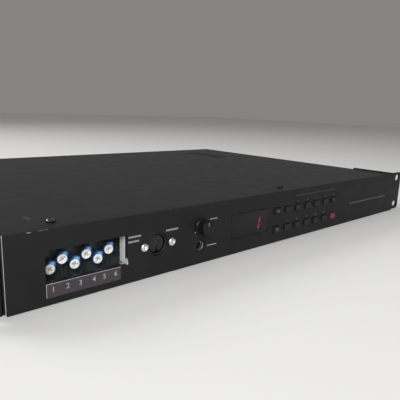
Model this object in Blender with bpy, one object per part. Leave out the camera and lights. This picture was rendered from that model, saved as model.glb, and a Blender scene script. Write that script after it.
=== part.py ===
"""A 19-inch rack module, one rack space high.

Six trimmers sit behind a window at the left, then come a round multi-pin input, a volume knob over a
phones jack, a red figure display and two rows of push buttons.

Metres, +X to the right as seen from the front, +Y to the rear, +Z up.
The origin is the middle of the underside.
"""
import math

import bmesh
import bpy
from mathutils import Matrix, Vector

# Case
CASE_WIDTH = 0.4420  # over the side rails
CASE_HEIGHT = 0.0425  # floor to the top of the cover
CASE_DEPTH = 0.3278  # panel's face to the cover's rear edge
SHEET = 0.0012  # steel sheet of chassis, cover and rear panel
GAP = 0.0003  # between pieces that touch
CLEARANCE = 0.0003  # around what passes through a hole
FRONT_FLANGE = 0.0340  # chassis flange under the cover, from the chassis wall's face
REAR_FLANGE = 0.0160  # the same on the rear panel
REAR_INSET = 0.0006  # rear panel's face, in from the cover's edge
RAIL_WALL = 0.0015
RAIL_FLANGE = 0.0100
PILLAR_RADIUS = 0.0025

# Front panel
PANEL_THICKNESS = 0.0030
PANEL_RISE = 0.0015  # above the cover
PANEL_INSET = 0.0003  # each end, in from the case's side
PANEL_EDGE = 0.0004

# Rack ears
EAR_THICKNESS = 0.0020
EAR_SETBACK = 0.0025  # behind the panel's face
EAR_LENGTH = 0.0515
EAR_FLANGE = 0.0180  # from the bracket's leg to the outer end
EAR_BEND = 0.0010  # inner radius
EAR_CORNER = 0.0035
SLOT_INSET = 0.00875  # slot's middle from the ear's outer end
SLOT_SPACING = 0.03175
SLOT_WIDTH = 0.0100
SLOT_HEIGHT = 0.0068
EAR_SCREW_FIRST = 0.0180  # from the ear's face
EAR_SCREW_SPACING = 0.0250

# Screws
SCREW_SHANK = 0.0013  # radius of cover and socket screws
SCREW_LENGTH = 0.0075
SCREW_HEAD = 0.0029
SCREW_HEAD_HEIGHT = 0.0018
SCREW_HEAD_CROWN = 0.7  # flat top's share of the head's radius
SCREW_HEAD_SIDE = 0.5  # straight side's share of the head's height
EAR_SCREW_SHANK = 0.0017
EAR_SCREW_HEAD = 0.0034
EAR_SCREW_HEAD_HEIGHT = 0.0013
COVER_SCREW_DEPTH = 0.0199  # behind the panel's face
COVER_SCREW_LEFT = 0.0338  # from the case's left side
COVER_SCREW_PITCH = 0.2152

# Vents in the cover
VENT_COUNT = 9
VENT_LENGTH = 0.0275
VENT_WIDTH = 0.0026
VENT_PITCH = 0.0078
VENT_FROM_RIGHT = 0.0670
VENT_FROM_REAR = 0.0730

# Trimmers and their window
WINDOW_FROM_LEFT = 0.0475
WINDOW_WIDTH = 0.0520
WINDOW_HEIGHT = 0.0189
WINDOW_RISE = 0.00045  # above the panel's middle
WINDOW_MARGIN = 0.0002  # chassis wall's window is this much larger all round
WINDOW_LIP = 0.0060  # bent lip at the window's right side
WINDOW_LIP_PROUD = 0.0001
TRIMMER_COUNT = 6
TRIMMER_PITCH = 0.00762
TRIMMER_SHIFT = 0.0008  # row's middle, left of the window's
TRIMMER_STAGGER = 0.0047
TRIMMER_DROP = 0.00225  # below the panel's middle
TRIMMER_WIDTH = 0.0060
TRIMMER_HEIGHT = 0.0069
TRIMMER_DEPTH = 0.0027
TRIMMER_ASIDE = 0.0011  # body's middle, right of its rotor's axis
TRIMMER_ABOVE = 0.00045  # and above it
TRIMMER_CUT = 0.0032  # slanting cut at the body's upper left corner
TRIMMER_EDGE = 0.0003
TRIMMER_BASE = 0.0024  # narrower foot between body and board
TRIMMER_BASE_INSET = 0.0010
ROTOR_RADIUS = 0.0030
ROTOR_THICKNESS = 0.0012
ROTOR_STUB_RADIUS = 0.0010
ROTOR_STUB_LENGTH = 0.0020
ROTOR_SLOT_LENGTH = 0.0045
ROTOR_SLOT_WIDTH = 0.0009
ROTOR_SLOT_DEPTH = 0.0006
TRIMMER_BOARD_OFFSET = 0.0115  # chassis wall to the board's face
TRIMMER_BOARD_SIDE = 0.0100  # board past the window at each side
BOARD = 0.0016
BOARD_EDGE = 0.0025  # board's edges from floor and flange
PILLAR_INSET = 0.0045  # pillar's axis from the board's edges

# Round sockets
SOCKET_FROM_LEFT = 0.0969
SOCKET_RING = 0.0075
SOCKET_RING_WALL = 0.0008
SOCKET_GROOVE = 0.0010
SOCKET_GROOVE_DEPTH = 0.0080
SOCKET_RECESS = 0.0006
SOCKET_INSERT_RECESS = 0.0012
SOCKET_LENGTH = 0.0170
SOCKET_FLANGE_WIDTH = 0.0280
SOCKET_FLANGE_HEIGHT = 0.0170
SOCKET_FLANGE = 0.0014
SOCKET_SCREW_SPACING = 0.0222
SOCKET_PIN_CIRCLE = 0.0034
SOCKET_PIN_RADIUS = 0.0007
SOCKET_PIN_DEPTH = 0.0040
INPUT_PINS = 7
DATA_PINS = 5
DATA_SPREAD = math.radians(180)

# Volume control and jacks
VOLUME_FROM_LEFT = 0.1345
VOLUME_RISE = 0.0065
KNOB_RADIUS = 0.0060
KNOB_HEIGHT = 0.0085
KNOB_LIFT = 0.0005
KNOB_TAPER = 0.0005
KNOB_CAP = 0.0025  # solid part in front of the shaft
POINTER_START = 0.0020  # from the knob's axis
POINTER_WIDTH = 0.0008
POINTER_DEPTH = 0.0004
SHAFT_RADIUS = 0.0029
SHAFT_SEAT = 0.0025  # shaft's depth in the pot
BUSHING_WALL = 0.0012
BUSHING_RECESS = 0.0005
POT_SIZE = 0.0160
PHONES_DROP = 0.0084
JACK_SIZE = 0.0120
JACK_LENGTH = 0.0240
JACK_BUSHING = 0.0045
JACK_BORE = 0.0033
JACK_BORE_END = 0.0020
JACK_RECESS = 0.0004

# Display
DISPLAY_FROM_LEFT = 0.1882
DISPLAY_WIDTH = 0.0440
DISPLAY_HEIGHT = 0.0200
LENS_RECESS = 0.0002
LENS_RIM = 0.0015
LENS_RIM_THICKNESS = 0.0010
MODULE_WIDTH = 0.0400
MODULE_HEIGHT = 0.0170
MODULE_CLEARANCE = 0.0007  # behind the lens

# Push buttons and their board
BUTTON_FROM_LEFT = 0.2216
BUTTON_PITCH = 0.0145
BUTTON_COLUMNS = 7
UPPER_ROW_RISE = 0.0060
LOWER_ROW_DROP = 0.0100
BUTTON_WIDTH = 0.0080
BUTTON_HEIGHT = 0.0050
BUTTON_PROUD = 0.0016
BUTTON_EDGE = 0.0005
BUTTON_RIM = 0.0012
BUTTON_RIM_DEPTH = 0.0012
BUTTON_STEM_INSET = 0.0022
BUTTON_TRAVEL = 0.0005
SWITCH_SIZE = 0.0060
SWITCH_HEIGHT = 0.0034
CONTROL_BOARD_OFFSET = 0.0095
CONTROL_BOARD_SIDE = 0.0160  # board past the outer controls

# Main board and cable
MAIN_BOARD_FRONT = 0.0600  # behind the panel's face
MAIN_BOARD_REAR = 0.0420  # before the rear edge
MAIN_BOARD_SIDE = 0.0180
MAIN_BOARD_LIFT = 0.0068  # above the floor
CHIP_COLUMNS = 4
CHIP_ROWS = 2
CHIP_ROW_START = 0.0730  # board's front edge to the first row's middle
CHIP_ROW_PITCH = 0.1027
CHIP_WIDTH = 0.0360
CHIP_LENGTH = 0.0150
CHIP_HEIGHT = 0.0042
CABLE_FROM_LEFT = 0.2600
CABLE_WIDTH = 0.0260
CABLE_THICKNESS = 0.0010
CABLE_STEPS = 10
HEADER_SIDE = 0.0020
HEADER_DEPTH = 0.0045
HEADER_HEIGHT = 0.0060

# Transformer
TRANSFORMER_FROM_RIGHT = 0.0680
TRANSFORMER_FROM_REAR = 0.0720
CORE_WIDTH = 0.0460
CORE_DEPTH = 0.0300
CORE_HEIGHT = 0.0330
COIL_WIDTH = 0.0290
COIL_DEPTH = 0.0480
COIL_HEIGHT = 0.0270
FOOT_SIDE = 0.0090
FOOT_DEPTH = 0.0200
FOOT_THICKNESS = 0.0015

# Mains inlet and switch
INLET_FROM_RIGHT = 0.0620
INLET_WIDTH = 0.0420
INLET_HEIGHT = 0.0220
INLET_DEPTH = 0.0220
INLET_FLANGE_SIDE = 0.0030
INLET_FLANGE = 0.0024
MAINS_WIDTH = 0.0225
MAINS_HEIGHT = 0.0155
MAINS_DEPTH = 0.0150
MAINS_OFFSET = -0.0085
BLADE_WIDTH = 0.0020
BLADE_HEIGHT = 0.0040
BLADE_PITCH = 0.0070
BLADE_STAGGER = 0.0020
BLADE_RECESS = 0.0050
ROCKER_WELL_WIDTH = 0.0116
ROCKER_WELL_HEIGHT = 0.0190
ROCKER_WELL_DEPTH = 0.0120
ROCKER_OFFSET = 0.0135
ROCKER_AXIS_DEPTH = 0.0040
ROCKER_END_CLEARANCE = 0.0009
ROCKER_END_RISE = 0.0034
ROCKER_MIDDLE_RISE = 0.0020
ROCKER_END_DROP = 0.0015
ROCKER_MIDDLE_DROP = 0.0030
ROCKER_PIN_RADIUS = 0.0012
ROCKER_PIN_LENGTH = 0.0009
ROCKER_TILT = math.radians(9)

# Rear jacks and sockets, from the case's right side
OUTPUT_FROM_RIGHT = 0.1500
OUTPUT_PITCH = 0.0240
OUTPUT_PROUD = 0.0030
DATA_FROM_RIGHT = 0.2080
DATA_PITCH = 0.0300

# Facets of round pieces
ROUND_SIDES = 28
SMALL_SIDES = 16
PILLAR_SIDES = 6
ARC_STEPS = 5
SHARP_ANGLE = math.radians(35)  # edges flatter than this are shaded smooth

# Planes that the pieces share
CASE_HALF = CASE_WIDTH / 2
PANEL_HALF = CASE_HALF - PANEL_INSET
PANEL_HEIGHT = CASE_HEIGHT + PANEL_RISE
PANEL_MIDDLE = PANEL_HEIGHT / 2
FRONT = -CASE_DEPTH / 2
PANEL_BACK = FRONT + PANEL_THICKNESS
WALL_FRONT = PANEL_BACK + GAP
WALL_BACK = WALL_FRONT + SHEET
REAR = CASE_DEPTH / 2
REAR_FACE = REAR - REAR_INSET
REAR_INNER = REAR_FACE - SHEET
COVER_UNDER = CASE_HEIGHT - SHEET
INNER_TOP = COVER_UNDER - GAP
BOARD_BOTTOM = SHEET + BOARD_EDGE
BOARD_TOP = INNER_TOP - SHEET - BOARD_EDGE
FLANGE_HALF = CASE_HALF - RAIL_FLANGE - GAP
TRIMMER_BOARD_FRONT = WALL_BACK + TRIMMER_BOARD_OFFSET
CONTROL_BOARD_FRONT = WALL_BACK + CONTROL_BOARD_OFFSET
MAIN_BOARD_BOTTOM = SHEET + MAIN_BOARD_LIFT
MAIN_BOARD_TOP = MAIN_BOARD_BOTTOM + BOARD

# Control places
WINDOW_X = WINDOW_FROM_LEFT - PANEL_HALF
WINDOW_Z = PANEL_MIDDLE + WINDOW_RISE
SOCKET_X = SOCKET_FROM_LEFT - PANEL_HALF
VOLUME_X = VOLUME_FROM_LEFT - PANEL_HALF
VOLUME_Z = PANEL_MIDDLE + VOLUME_RISE
PHONES_Z = PANEL_MIDDLE - PHONES_DROP
DISPLAY_X = DISPLAY_FROM_LEFT - PANEL_HALF
BUTTON_X = BUTTON_FROM_LEFT - PANEL_HALF
BUTTON_END = BUTTON_X + BUTTON_PITCH * (BUTTON_COLUMNS - 1)
BUTTON_ROWS = (PANEL_MIDDLE + UPPER_ROW_RISE, PANEL_MIDDLE - LOWER_ROW_DROP)
CABLE_X = CABLE_FROM_LEFT - PANEL_HALF
INLET_X = CASE_HALF - INLET_FROM_RIGHT
TRANSFORMER_X = CASE_HALF - TRANSFORMER_FROM_RIGHT
TRANSFORMER_Y = REAR - TRANSFORMER_FROM_REAR
TRANSFORMER_LEFT = TRANSFORMER_X - CORE_WIDTH / 2 - FOOT_SIDE
MAIN_BOARD_SPAN = (MAIN_BOARD_SIDE - CASE_HALF, TRANSFORMER_LEFT - MAIN_BOARD_SIDE)
MAIN_BOARD_DEPTH = (FRONT + MAIN_BOARD_FRONT, REAR - MAIN_BOARD_REAR)

AXIS_TURNS = {
    "X": Matrix.Rotation(math.pi / 2, 4, "Y"),
    "Y": Matrix.Rotation(-math.pi / 2, 4, "X"),
    "Z": Matrix.Identity(4),
}


def clear_scene():
    for thing in list(bpy.data.objects):
        bpy.data.objects.remove(thing, do_unlink=True)


def make_material(name, colour, roughness, metallic):
    material = bpy.data.materials.new(name)
    material.use_nodes = True
    shader = material.node_tree.nodes["Principled BSDF"]
    shader.inputs["Base Color"].default_value = (*colour, 1.0)
    shader.inputs["Roughness"].default_value = roughness
    shader.inputs["Metallic"].default_value = metallic
    return material


def make_materials():
    finishes = {
        "black_paint": ((0.020, 0.020, 0.021), 0.45, 0.0),
        "black_cover": ((0.016, 0.016, 0.017), 0.35, 0.0),
        "black_plastic": ((0.015, 0.015, 0.016), 0.50, 0.0),
        "red_plastic": ((0.300, 0.020, 0.020), 0.45, 0.0),
        "zinc": ((0.560, 0.570, 0.580), 0.40, 1.0),
        "steel": ((0.620, 0.610, 0.590), 0.30, 1.0),
        "black_steel": ((0.030, 0.030, 0.032), 0.40, 0.6),
        "blue_plastic": ((0.020, 0.150, 0.620), 0.40, 0.0),
        "white_plastic": ((0.800, 0.800, 0.790), 0.45, 0.0),
        "smoked_plastic": ((0.012, 0.006, 0.006), 0.12, 0.0),
        "grey_plastic": ((0.240, 0.240, 0.240), 0.50, 0.0),
        "green_board": ((0.030, 0.160, 0.070), 0.50, 0.0),
        "core_iron": ((0.120, 0.110, 0.100), 0.50, 0.8),
    }
    return {name: make_material(name, *values) for name, values in finishes.items()}


def point(axis, across, along):
    """A point from its place along one axis and its two coordinates across it."""
    first, second = across
    return {
        "X": Vector((along, first, second)),
        "Y": Vector((first, along, second)),
        "Z": Vector((first, second, along)),
    }[axis]


def add_box(mesh, x, y, z):
    """Adds a box from its two ends along each axis and returns its faces."""
    size = [abs(pair[1] - pair[0]) for pair in (x, y, z)]
    middle = Vector([sum(pair) / 2 for pair in (x, y, z)])
    place = Matrix.Translation(middle) @ Matrix.Diagonal((*size, 1.0))
    made = bmesh.ops.create_cube(mesh, size=1.0, matrix=place)
    return list({face for vert in made["verts"] for face in vert.link_faces})


def add_cylinder(mesh, axis, across, radius, start, end, sides=ROUND_SIDES):
    place = Matrix.Translation(point(axis, across, (start + end) / 2)) @ AXIS_TURNS[axis]
    bmesh.ops.create_cone(
        mesh,
        cap_ends=True,
        segments=sides,
        radius1=radius,
        radius2=radius,
        depth=abs(end - start),
        matrix=place,
    )


def add_prism(mesh, axis, outline, start, end):
    """Adds an outline drawn across an axis, carried along it."""
    near = [mesh.verts.new(point(axis, corner, start)) for corner in outline]
    far = [mesh.verts.new(point(axis, corner, end)) for corner in outline]
    faces = [mesh.faces.new(near), mesh.faces.new(far)]
    for index, corner in enumerate(near):
        after = (index + 1) % len(near)
        faces.append(mesh.faces.new((corner, near[after], far[after], far[index])))
    bmesh.ops.recalc_face_normals(mesh, faces=faces)


def add_lathe(mesh, axis, across, profile, sides=ROUND_SIDES):
    """Adds a turned shape from points of radius and place along the axis."""
    aside = point(axis, (1.0, 0.0), 0.0)
    centre = point(axis, across, 0.0)
    verts = [mesh.verts.new(point(axis, across, along) + aside * radius) for radius, along in profile]
    edges = [mesh.edges.new(pair) for pair in zip(verts, verts[1:])]
    spin_axis = point(axis, (0.0, 0.0), 1.0)
    bmesh.ops.spin(
        mesh, geom=verts + edges, cent=centre, axis=spin_axis, angle=2 * math.pi, steps=sides, use_merge=True
    )
    bmesh.ops.remove_doubles(mesh, verts=mesh.verts, dist=1e-6)
    bmesh.ops.recalc_face_normals(mesh, faces=mesh.faces)


def step_out(mesh, face, inset, rise):
    """Insets one face and raises what is left of it."""
    if inset:
        bmesh.ops.inset_region(mesh, faces=[face], thickness=inset, use_even_offset=True)
    raised = bmesh.ops.extrude_discrete_faces(mesh, faces=[face])["faces"][0]
    bmesh.ops.translate(mesh, verts=raised.verts, vec=raised.normal * rise)
    return raised


def facing(faces, direction):
    """The one face that points most in a direction."""
    return max(faces, key=lambda face: face.normal.dot(Vector(direction)))


def bevel(mesh, edges, width, segments):
    bmesh.ops.bevel(mesh, geom=edges, offset=width, segments=segments, profile=0.5, affect="EDGES")


def make_object(name, mesh, material=None, pivot=(0.0, 0.0, 0.0), smooth=False):
    """Turns a bmesh drawn in the part's frame into an object whose origin is the pivot."""
    bmesh.ops.translate(mesh, verts=mesh.verts, vec=-Vector(pivot))
    data = bpy.data.meshes.new(name)
    mesh.to_mesh(data)
    mesh.free()
    if smooth:
        data.shade_smooth()
        data.set_sharp_from_angle(angle=SHARP_ANGLE)
    thing = bpy.data.objects.new(name, data)
    thing.location = pivot
    bpy.context.scene.collection.objects.link(thing)
    if material:
        data.materials.append(material)
    return thing


def combine(thing, mesh, operation):
    """Cuts or joins a guide shape, drawn in the part's frame, with an object."""
    guide = make_object(f"{thing.name}_{operation.lower()}", mesh)
    guide.hide_render = True
    guide.display_type = "WIRE"
    modifier = thing.modifiers.new(operation.title(), "BOOLEAN")
    modifier.operation = operation
    modifier.object = guide
    modifier.solver = "EXACT"


def around(middle, half):
    return (middle - half, middle + half)


def arc(centre, radius, start, end, steps=ARC_STEPS):
    """Points of an arc between two angles in degrees."""
    turns = [math.radians(start + (end - start) * step / steps) for step in range(steps + 1)]
    return [(centre[0] + radius * math.cos(turn), centre[1] + radius * math.sin(turn)) for turn in turns]


def slot_outline(x, z):
    """A rack slot with round ends."""
    reach = (SLOT_WIDTH - SLOT_HEIGHT) / 2
    right = arc((x + reach, z), SLOT_HEIGHT / 2, -90, 90)
    left = arc((x - reach, z), SLOT_HEIGHT / 2, 90, 270)
    return right + left


def button_places():
    """Row, column and place of each push button."""
    for row, z in enumerate(BUTTON_ROWS):
        for column in range(BUTTON_COLUMNS):
            yield row, column, BUTTON_X + BUTTON_PITCH * column, z


def socket_screw_places():
    return [SOCKET_X + side * SOCKET_SCREW_SPACING / 2 for side in (-1, 1)]


def cover_screw_places():
    first = COVER_SCREW_LEFT - CASE_HALF
    return {"cover_screw_left": first, "cover_screw_middle": first + COVER_SCREW_PITCH}


def ear_screw_places():
    first = FRONT + EAR_SETBACK + EAR_SCREW_FIRST
    return {"front": first, "rear": first + EAR_SCREW_SPACING}


def front_cutter(margin, pot_radius, start, end):
    """Cut-outs that the panel and the chassis wall share, with a margin round the square ones."""
    mesh = bmesh.new()
    window = (around(WINDOW_X, WINDOW_WIDTH / 2 + margin), around(WINDOW_Z, WINDOW_HEIGHT / 2 + margin))
    add_box(mesh, window[0], (start, end), window[1])
    add_cylinder(mesh, "Y", (SOCKET_X, PANEL_MIDDLE), SOCKET_RING + CLEARANCE, start, end)
    for x in socket_screw_places():
        add_cylinder(mesh, "Y", (x, PANEL_MIDDLE), SCREW_SHANK + CLEARANCE, start, end, SMALL_SIDES)
    add_cylinder(mesh, "Y", (VOLUME_X, VOLUME_Z), pot_radius, start, end)
    add_cylinder(mesh, "Y", (VOLUME_X, PHONES_Z), JACK_BUSHING + CLEARANCE, start, end)
    for _, _, x, z in button_places():
        wide = around(x, BUTTON_WIDTH / 2 + CLEARANCE + margin)
        add_box(mesh, wide, (start, end), around(z, BUTTON_HEIGHT / 2 + CLEARANCE + margin))
    return mesh


def bushing_radius():
    return SHAFT_RADIUS + CLEARANCE + BUSHING_WALL


def build_front_panel(materials):
    mesh = bmesh.new()
    add_box(mesh, around(0.0, PANEL_HALF), (FRONT, PANEL_BACK), (GAP, PANEL_HEIGHT))
    bevel(mesh, mesh.edges[:], PANEL_EDGE, 1)
    panel = make_object("front_panel", mesh, materials["black_paint"])
    past = (FRONT - PANEL_THICKNESS, PANEL_BACK + PANEL_THICKNESS)
    cutter = front_cutter(0.0, bushing_radius() + CLEARANCE, *past)
    add_box(cutter, around(DISPLAY_X, DISPLAY_WIDTH / 2), past, around(PANEL_MIDDLE, DISPLAY_HEIGHT / 2))
    combine(panel, cutter, "DIFFERENCE")


def chassis_cutter():
    """Openings of the chassis wall and the holes and notches of its flange."""
    past = (WALL_FRONT - SHEET, WALL_BACK + SHEET)
    mesh = front_cutter(WINDOW_MARGIN, bushing_radius() + CLEARANCE, *past)
    rim = LENS_RIM + CLEARANCE
    wide = around(DISPLAY_X, DISPLAY_WIDTH / 2 + rim)
    add_box(mesh, wide, past, around(PANEL_MIDDLE, DISPLAY_HEIGHT / 2 + rim))
    flange = (INNER_TOP - 2 * SHEET, INNER_TOP + SHEET)
    for x in cover_screw_places().values():
        across = (x, FRONT + COVER_SCREW_DEPTH)
        add_cylinder(mesh, "Z", across, SCREW_SHANK + CLEARANCE, *flange, SMALL_SIDES)
    for side in (-1, 1):
        notch = (side * FLANGE_HALF, side * (CASE_HALF + SHEET))
        deep = (WALL_BACK, WALL_FRONT + FRONT_FLANGE + SHEET)
        add_box(mesh, notch, deep, flange)
    return mesh


def add_wall_pillars(mesh, span, board_front):
    """Four pillars from the chassis wall to a board that stands behind it."""
    ends = (WALL_BACK - SHEET / 2, board_front - GAP)
    for x in (span[0] + PILLAR_INSET, span[1] - PILLAR_INSET):
        for z in (BOARD_BOTTOM + PILLAR_INSET, BOARD_TOP - PILLAR_INSET):
            add_cylinder(mesh, "Y", (x, z), PILLAR_RADIUS, *ends, PILLAR_SIDES)


def trimmer_board_span():
    return around(WINDOW_X, WINDOW_WIDTH / 2 + TRIMMER_BOARD_SIDE)


def control_board_span():
    return (VOLUME_X - CONTROL_BOARD_SIDE, BUTTON_END + CONTROL_BOARD_SIDE)


def chassis_pillars():
    mesh = bmesh.new()
    add_wall_pillars(mesh, trimmer_board_span(), TRIMMER_BOARD_FRONT)
    add_wall_pillars(mesh, control_board_span(), CONTROL_BOARD_FRONT)
    ends = (SHEET / 2, MAIN_BOARD_BOTTOM - GAP)
    for x in (MAIN_BOARD_SPAN[0] + PILLAR_INSET, MAIN_BOARD_SPAN[1] - PILLAR_INSET):
        for y in (MAIN_BOARD_DEPTH[0] + PILLAR_INSET, MAIN_BOARD_DEPTH[1] - PILLAR_INSET):
            add_cylinder(mesh, "Z", (x, y), PILLAR_RADIUS, *ends, PILLAR_SIDES)
    edge = WINDOW_X + WINDOW_WIDTH / 2 + WINDOW_MARGIN - WINDOW_LIP_PROUD
    deep = (WALL_FRONT + SHEET / 2, WALL_FRONT + WINDOW_LIP)
    add_box(mesh, (edge, edge + SHEET), deep, around(WINDOW_Z, WINDOW_HEIGHT / 2))
    return mesh


def build_chassis(materials):
    """Floor, front wall and front flange, bent from one sheet."""
    flange_end = WALL_FRONT + FRONT_FLANGE
    outline = [
        (WALL_FRONT, 0.0),
        (REAR, 0.0),
        (REAR, SHEET),
        (WALL_BACK, SHEET),
        (WALL_BACK, INNER_TOP - SHEET),
        (flange_end, INNER_TOP - SHEET),
        (flange_end, INNER_TOP),
        (WALL_FRONT, INNER_TOP),
    ]
    mesh = bmesh.new()
    add_prism(mesh, "X", outline, -CASE_HALF, CASE_HALF)
    chassis = make_object("chassis", mesh, materials["zinc"])
    combine(chassis, chassis_cutter(), "DIFFERENCE")
    combine(chassis, chassis_pillars(), "UNION")


def build_side_rail(name, side, materials):
    """A channel that closes one side of the case."""
    low = SHEET + GAP
    inner = CASE_HALF - RAIL_WALL
    tip = CASE_HALF - RAIL_FLANGE
    outline = [
        (CASE_HALF, low),
        (CASE_HALF, INNER_TOP),
        (tip, INNER_TOP),
        (tip, INNER_TOP - RAIL_WALL),
        (inner, INNER_TOP - RAIL_WALL),
        (inner, low + RAIL_WALL),
        (tip, low + RAIL_WALL),
        (tip, low),
    ]
    mesh = bmesh.new()
    add_prism(mesh, "Y", [(side * x, z) for x, z in outline], WALL_BACK + GAP, REAR_INNER - GAP)
    rail = make_object(name, mesh, materials["black_paint"])
    cutter = bmesh.new()
    for y in ear_screw_places().values():
        ends = (side * (inner - RAIL_WALL), side * (CASE_HALF + RAIL_WALL))
        add_cylinder(cutter, "X", (y, PANEL_MIDDLE), EAR_SCREW_SHANK + CLEARANCE, *ends, SMALL_SIDES)
    combine(rail, cutter, "DIFFERENCE")


def output_places():
    return [CASE_HALF - OUTPUT_FROM_RIGHT - OUTPUT_PITCH * index for index in range(2)]


def data_places():
    return [CASE_HALF - DATA_FROM_RIGHT - DATA_PITCH * index for index in range(2)]


def build_rear_panel(materials):
    """Rear wall with a flange under the cover."""
    low = SHEET + GAP
    flange_end = REAR_FACE - REAR_FLANGE
    outline = [
        (REAR_INNER, low),
        (REAR_FACE, low),
        (REAR_FACE, INNER_TOP),
        (flange_end, INNER_TOP),
        (flange_end, INNER_TOP - SHEET),
        (REAR_INNER, INNER_TOP - SHEET),
    ]
    mesh = bmesh.new()
    add_prism(mesh, "X", outline, -CASE_HALF, CASE_HALF)
    panel = make_object("rear_panel", mesh, materials["black_paint"])
    past = (REAR_INNER - SHEET, REAR_FACE + SHEET)
    cutter = bmesh.new()
    for x in output_places():
        add_cylinder(cutter, "Y", (x, PANEL_MIDDLE), JACK_BUSHING + CLEARANCE, *past)
    for x in data_places():
        add_cylinder(cutter, "Y", (x, PANEL_MIDDLE), SOCKET_RING + CLEARANCE, *past)
    wide = around(INLET_X, INLET_WIDTH / 2 + CLEARANCE)
    add_box(cutter, wide, past, around(PANEL_MIDDLE, INLET_HEIGHT / 2 + CLEARANCE))
    for side in (-1, 1):
        notch = (side * FLANGE_HALF, side * (CASE_HALF + SHEET))
        add_box(cutter, notch, (flange_end - SHEET, REAR_INNER), (INNER_TOP - 2 * SHEET, INNER_TOP + SHEET))
    combine(panel, cutter, "DIFFERENCE")


def build_top_cover(materials):
    mesh = bmesh.new()
    add_box(mesh, around(0.0, CASE_HALF), (WALL_FRONT, REAR), (COVER_UNDER, CASE_HEIGHT))
    cover = make_object("top_cover", mesh, materials["black_cover"])
    past = (COVER_UNDER - SHEET, CASE_HEIGHT + SHEET)
    cutter = bmesh.new()
    for x in cover_screw_places().values():
        across = (x, FRONT + COVER_SCREW_DEPTH)
        add_cylinder(cutter, "Z", across, SCREW_SHANK + CLEARANCE, *past, SMALL_SIDES)
    wide = around(CASE_HALF - VENT_FROM_RIGHT, VENT_LENGTH / 2)
    for index in range(VENT_COUNT):
        y = REAR - VENT_FROM_REAR + VENT_PITCH * (index - (VENT_COUNT - 1) / 2)
        add_box(cutter, wide, around(y, VENT_WIDTH / 2), past)
    combine(cover, cutter, "DIFFERENCE")


def ear_outline():
    """The right ear's bracket in plan, with a round bend beside the panel's end."""
    inner = CASE_HALF + GAP
    outer = inner + EAR_THICKNESS
    face = FRONT + EAR_SETBACK
    radius = EAR_BEND + EAR_THICKNESS
    centre = (inner + radius, face + radius)
    corner = [(inner, face + EAR_LENGTH)] + arc(centre, radius, 180, 270)
    flange = [(outer + EAR_FLANGE, face), (outer + EAR_FLANGE, face + EAR_THICKNESS)]
    inside = arc(centre, EAR_BEND, 270, 180)
    return corner + flange + inside + [(outer, face + EAR_LENGTH)]


def round_ear_corners(mesh, end):
    """Rounds the two outer corners of an ear's flange."""
    corners = [
        edge
        for edge in mesh.edges
        if all(abs(vert.co.x - end) < GAP / 10 for vert in edge.verts)
        and abs(edge.verts[0].co.z - edge.verts[1].co.z) < GAP / 10
    ]
    bevel(mesh, corners, EAR_CORNER, ARC_STEPS)


def build_rack_ear(name, side, materials):
    mesh = bmesh.new()
    add_prism(mesh, "Z", [(side * x, y) for x, y in ear_outline()], GAP, PANEL_HEIGHT)
    end = CASE_HALF + GAP + EAR_THICKNESS + EAR_FLANGE
    round_ear_corners(mesh, side * end)
    ear = make_object(name, mesh, materials["black_paint"])
    face = FRONT + EAR_SETBACK
    cutter = bmesh.new()
    for step in (-0.5, 0.5):
        outline = slot_outline(side * (end - SLOT_INSET), PANEL_MIDDLE + step * SLOT_SPACING)
        add_prism(cutter, "Y", outline, face - EAR_THICKNESS, face + 2 * EAR_THICKNESS)
    for y in ear_screw_places().values():
        ends = (side * CASE_HALF, side * (CASE_HALF + GAP + 2 * EAR_THICKNESS))
        add_cylinder(cutter, "X", (y, PANEL_MIDDLE), EAR_SCREW_SHANK + CLEARANCE, *ends, SMALL_SIDES)
    combine(ear, cutter, "DIFFERENCE")


def build_screw(name, material, axis, across, seat, out, head, head_height, shank):
    """A pan head standing off its seat, and a shank going the other way."""
    under = seat + out * GAP
    profile = [
        (0.0, under + out * head_height),
        (head * SCREW_HEAD_CROWN, under + out * head_height),
        (head, under + out * head_height * SCREW_HEAD_SIDE),
        (head, under),
        (shank, under),
        (shank, under - out * SCREW_LENGTH),
        (0.0, under - out * SCREW_LENGTH),
    ]
    mesh = bmesh.new()
    add_lathe(mesh, axis, across, profile, SMALL_SIDES)
    make_object(name, mesh, material, smooth=True)


def build_screws(materials):
    small = (SCREW_HEAD, SCREW_HEAD_HEIGHT, SCREW_SHANK)
    for name, x in cover_screw_places().items():
        across = (x, FRONT + COVER_SCREW_DEPTH)
        build_screw(name, materials["black_steel"], "Z", across, CASE_HEIGHT, 1, *small)
    for name, x in zip(("input_screw_left", "input_screw_right"), socket_screw_places()):
        build_screw(name, materials["steel"], "Y", (x, PANEL_MIDDLE), FRONT, -1, *small)
    large = (EAR_SCREW_HEAD, EAR_SCREW_HEAD_HEIGHT, EAR_SCREW_SHANK)
    seat = CASE_HALF + GAP + EAR_THICKNESS
    for side, word in ((-1, "left"), (1, "right")):
        for end, y in ear_screw_places().items():
            name = f"ear_screw_{word}_{end}"
            build_screw(name, materials["black_steel"], "X", (y, PANEL_MIDDLE), side * seat, side, *large)


def build_trimmer_board(materials):
    mesh = bmesh.new()
    deep = (TRIMMER_BOARD_FRONT, TRIMMER_BOARD_FRONT + BOARD)
    add_box(mesh, trimmer_board_span(), deep, (BOARD_BOTTOM, BOARD_TOP))
    make_object("trimmer_board", mesh, materials["green_board"])


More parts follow.
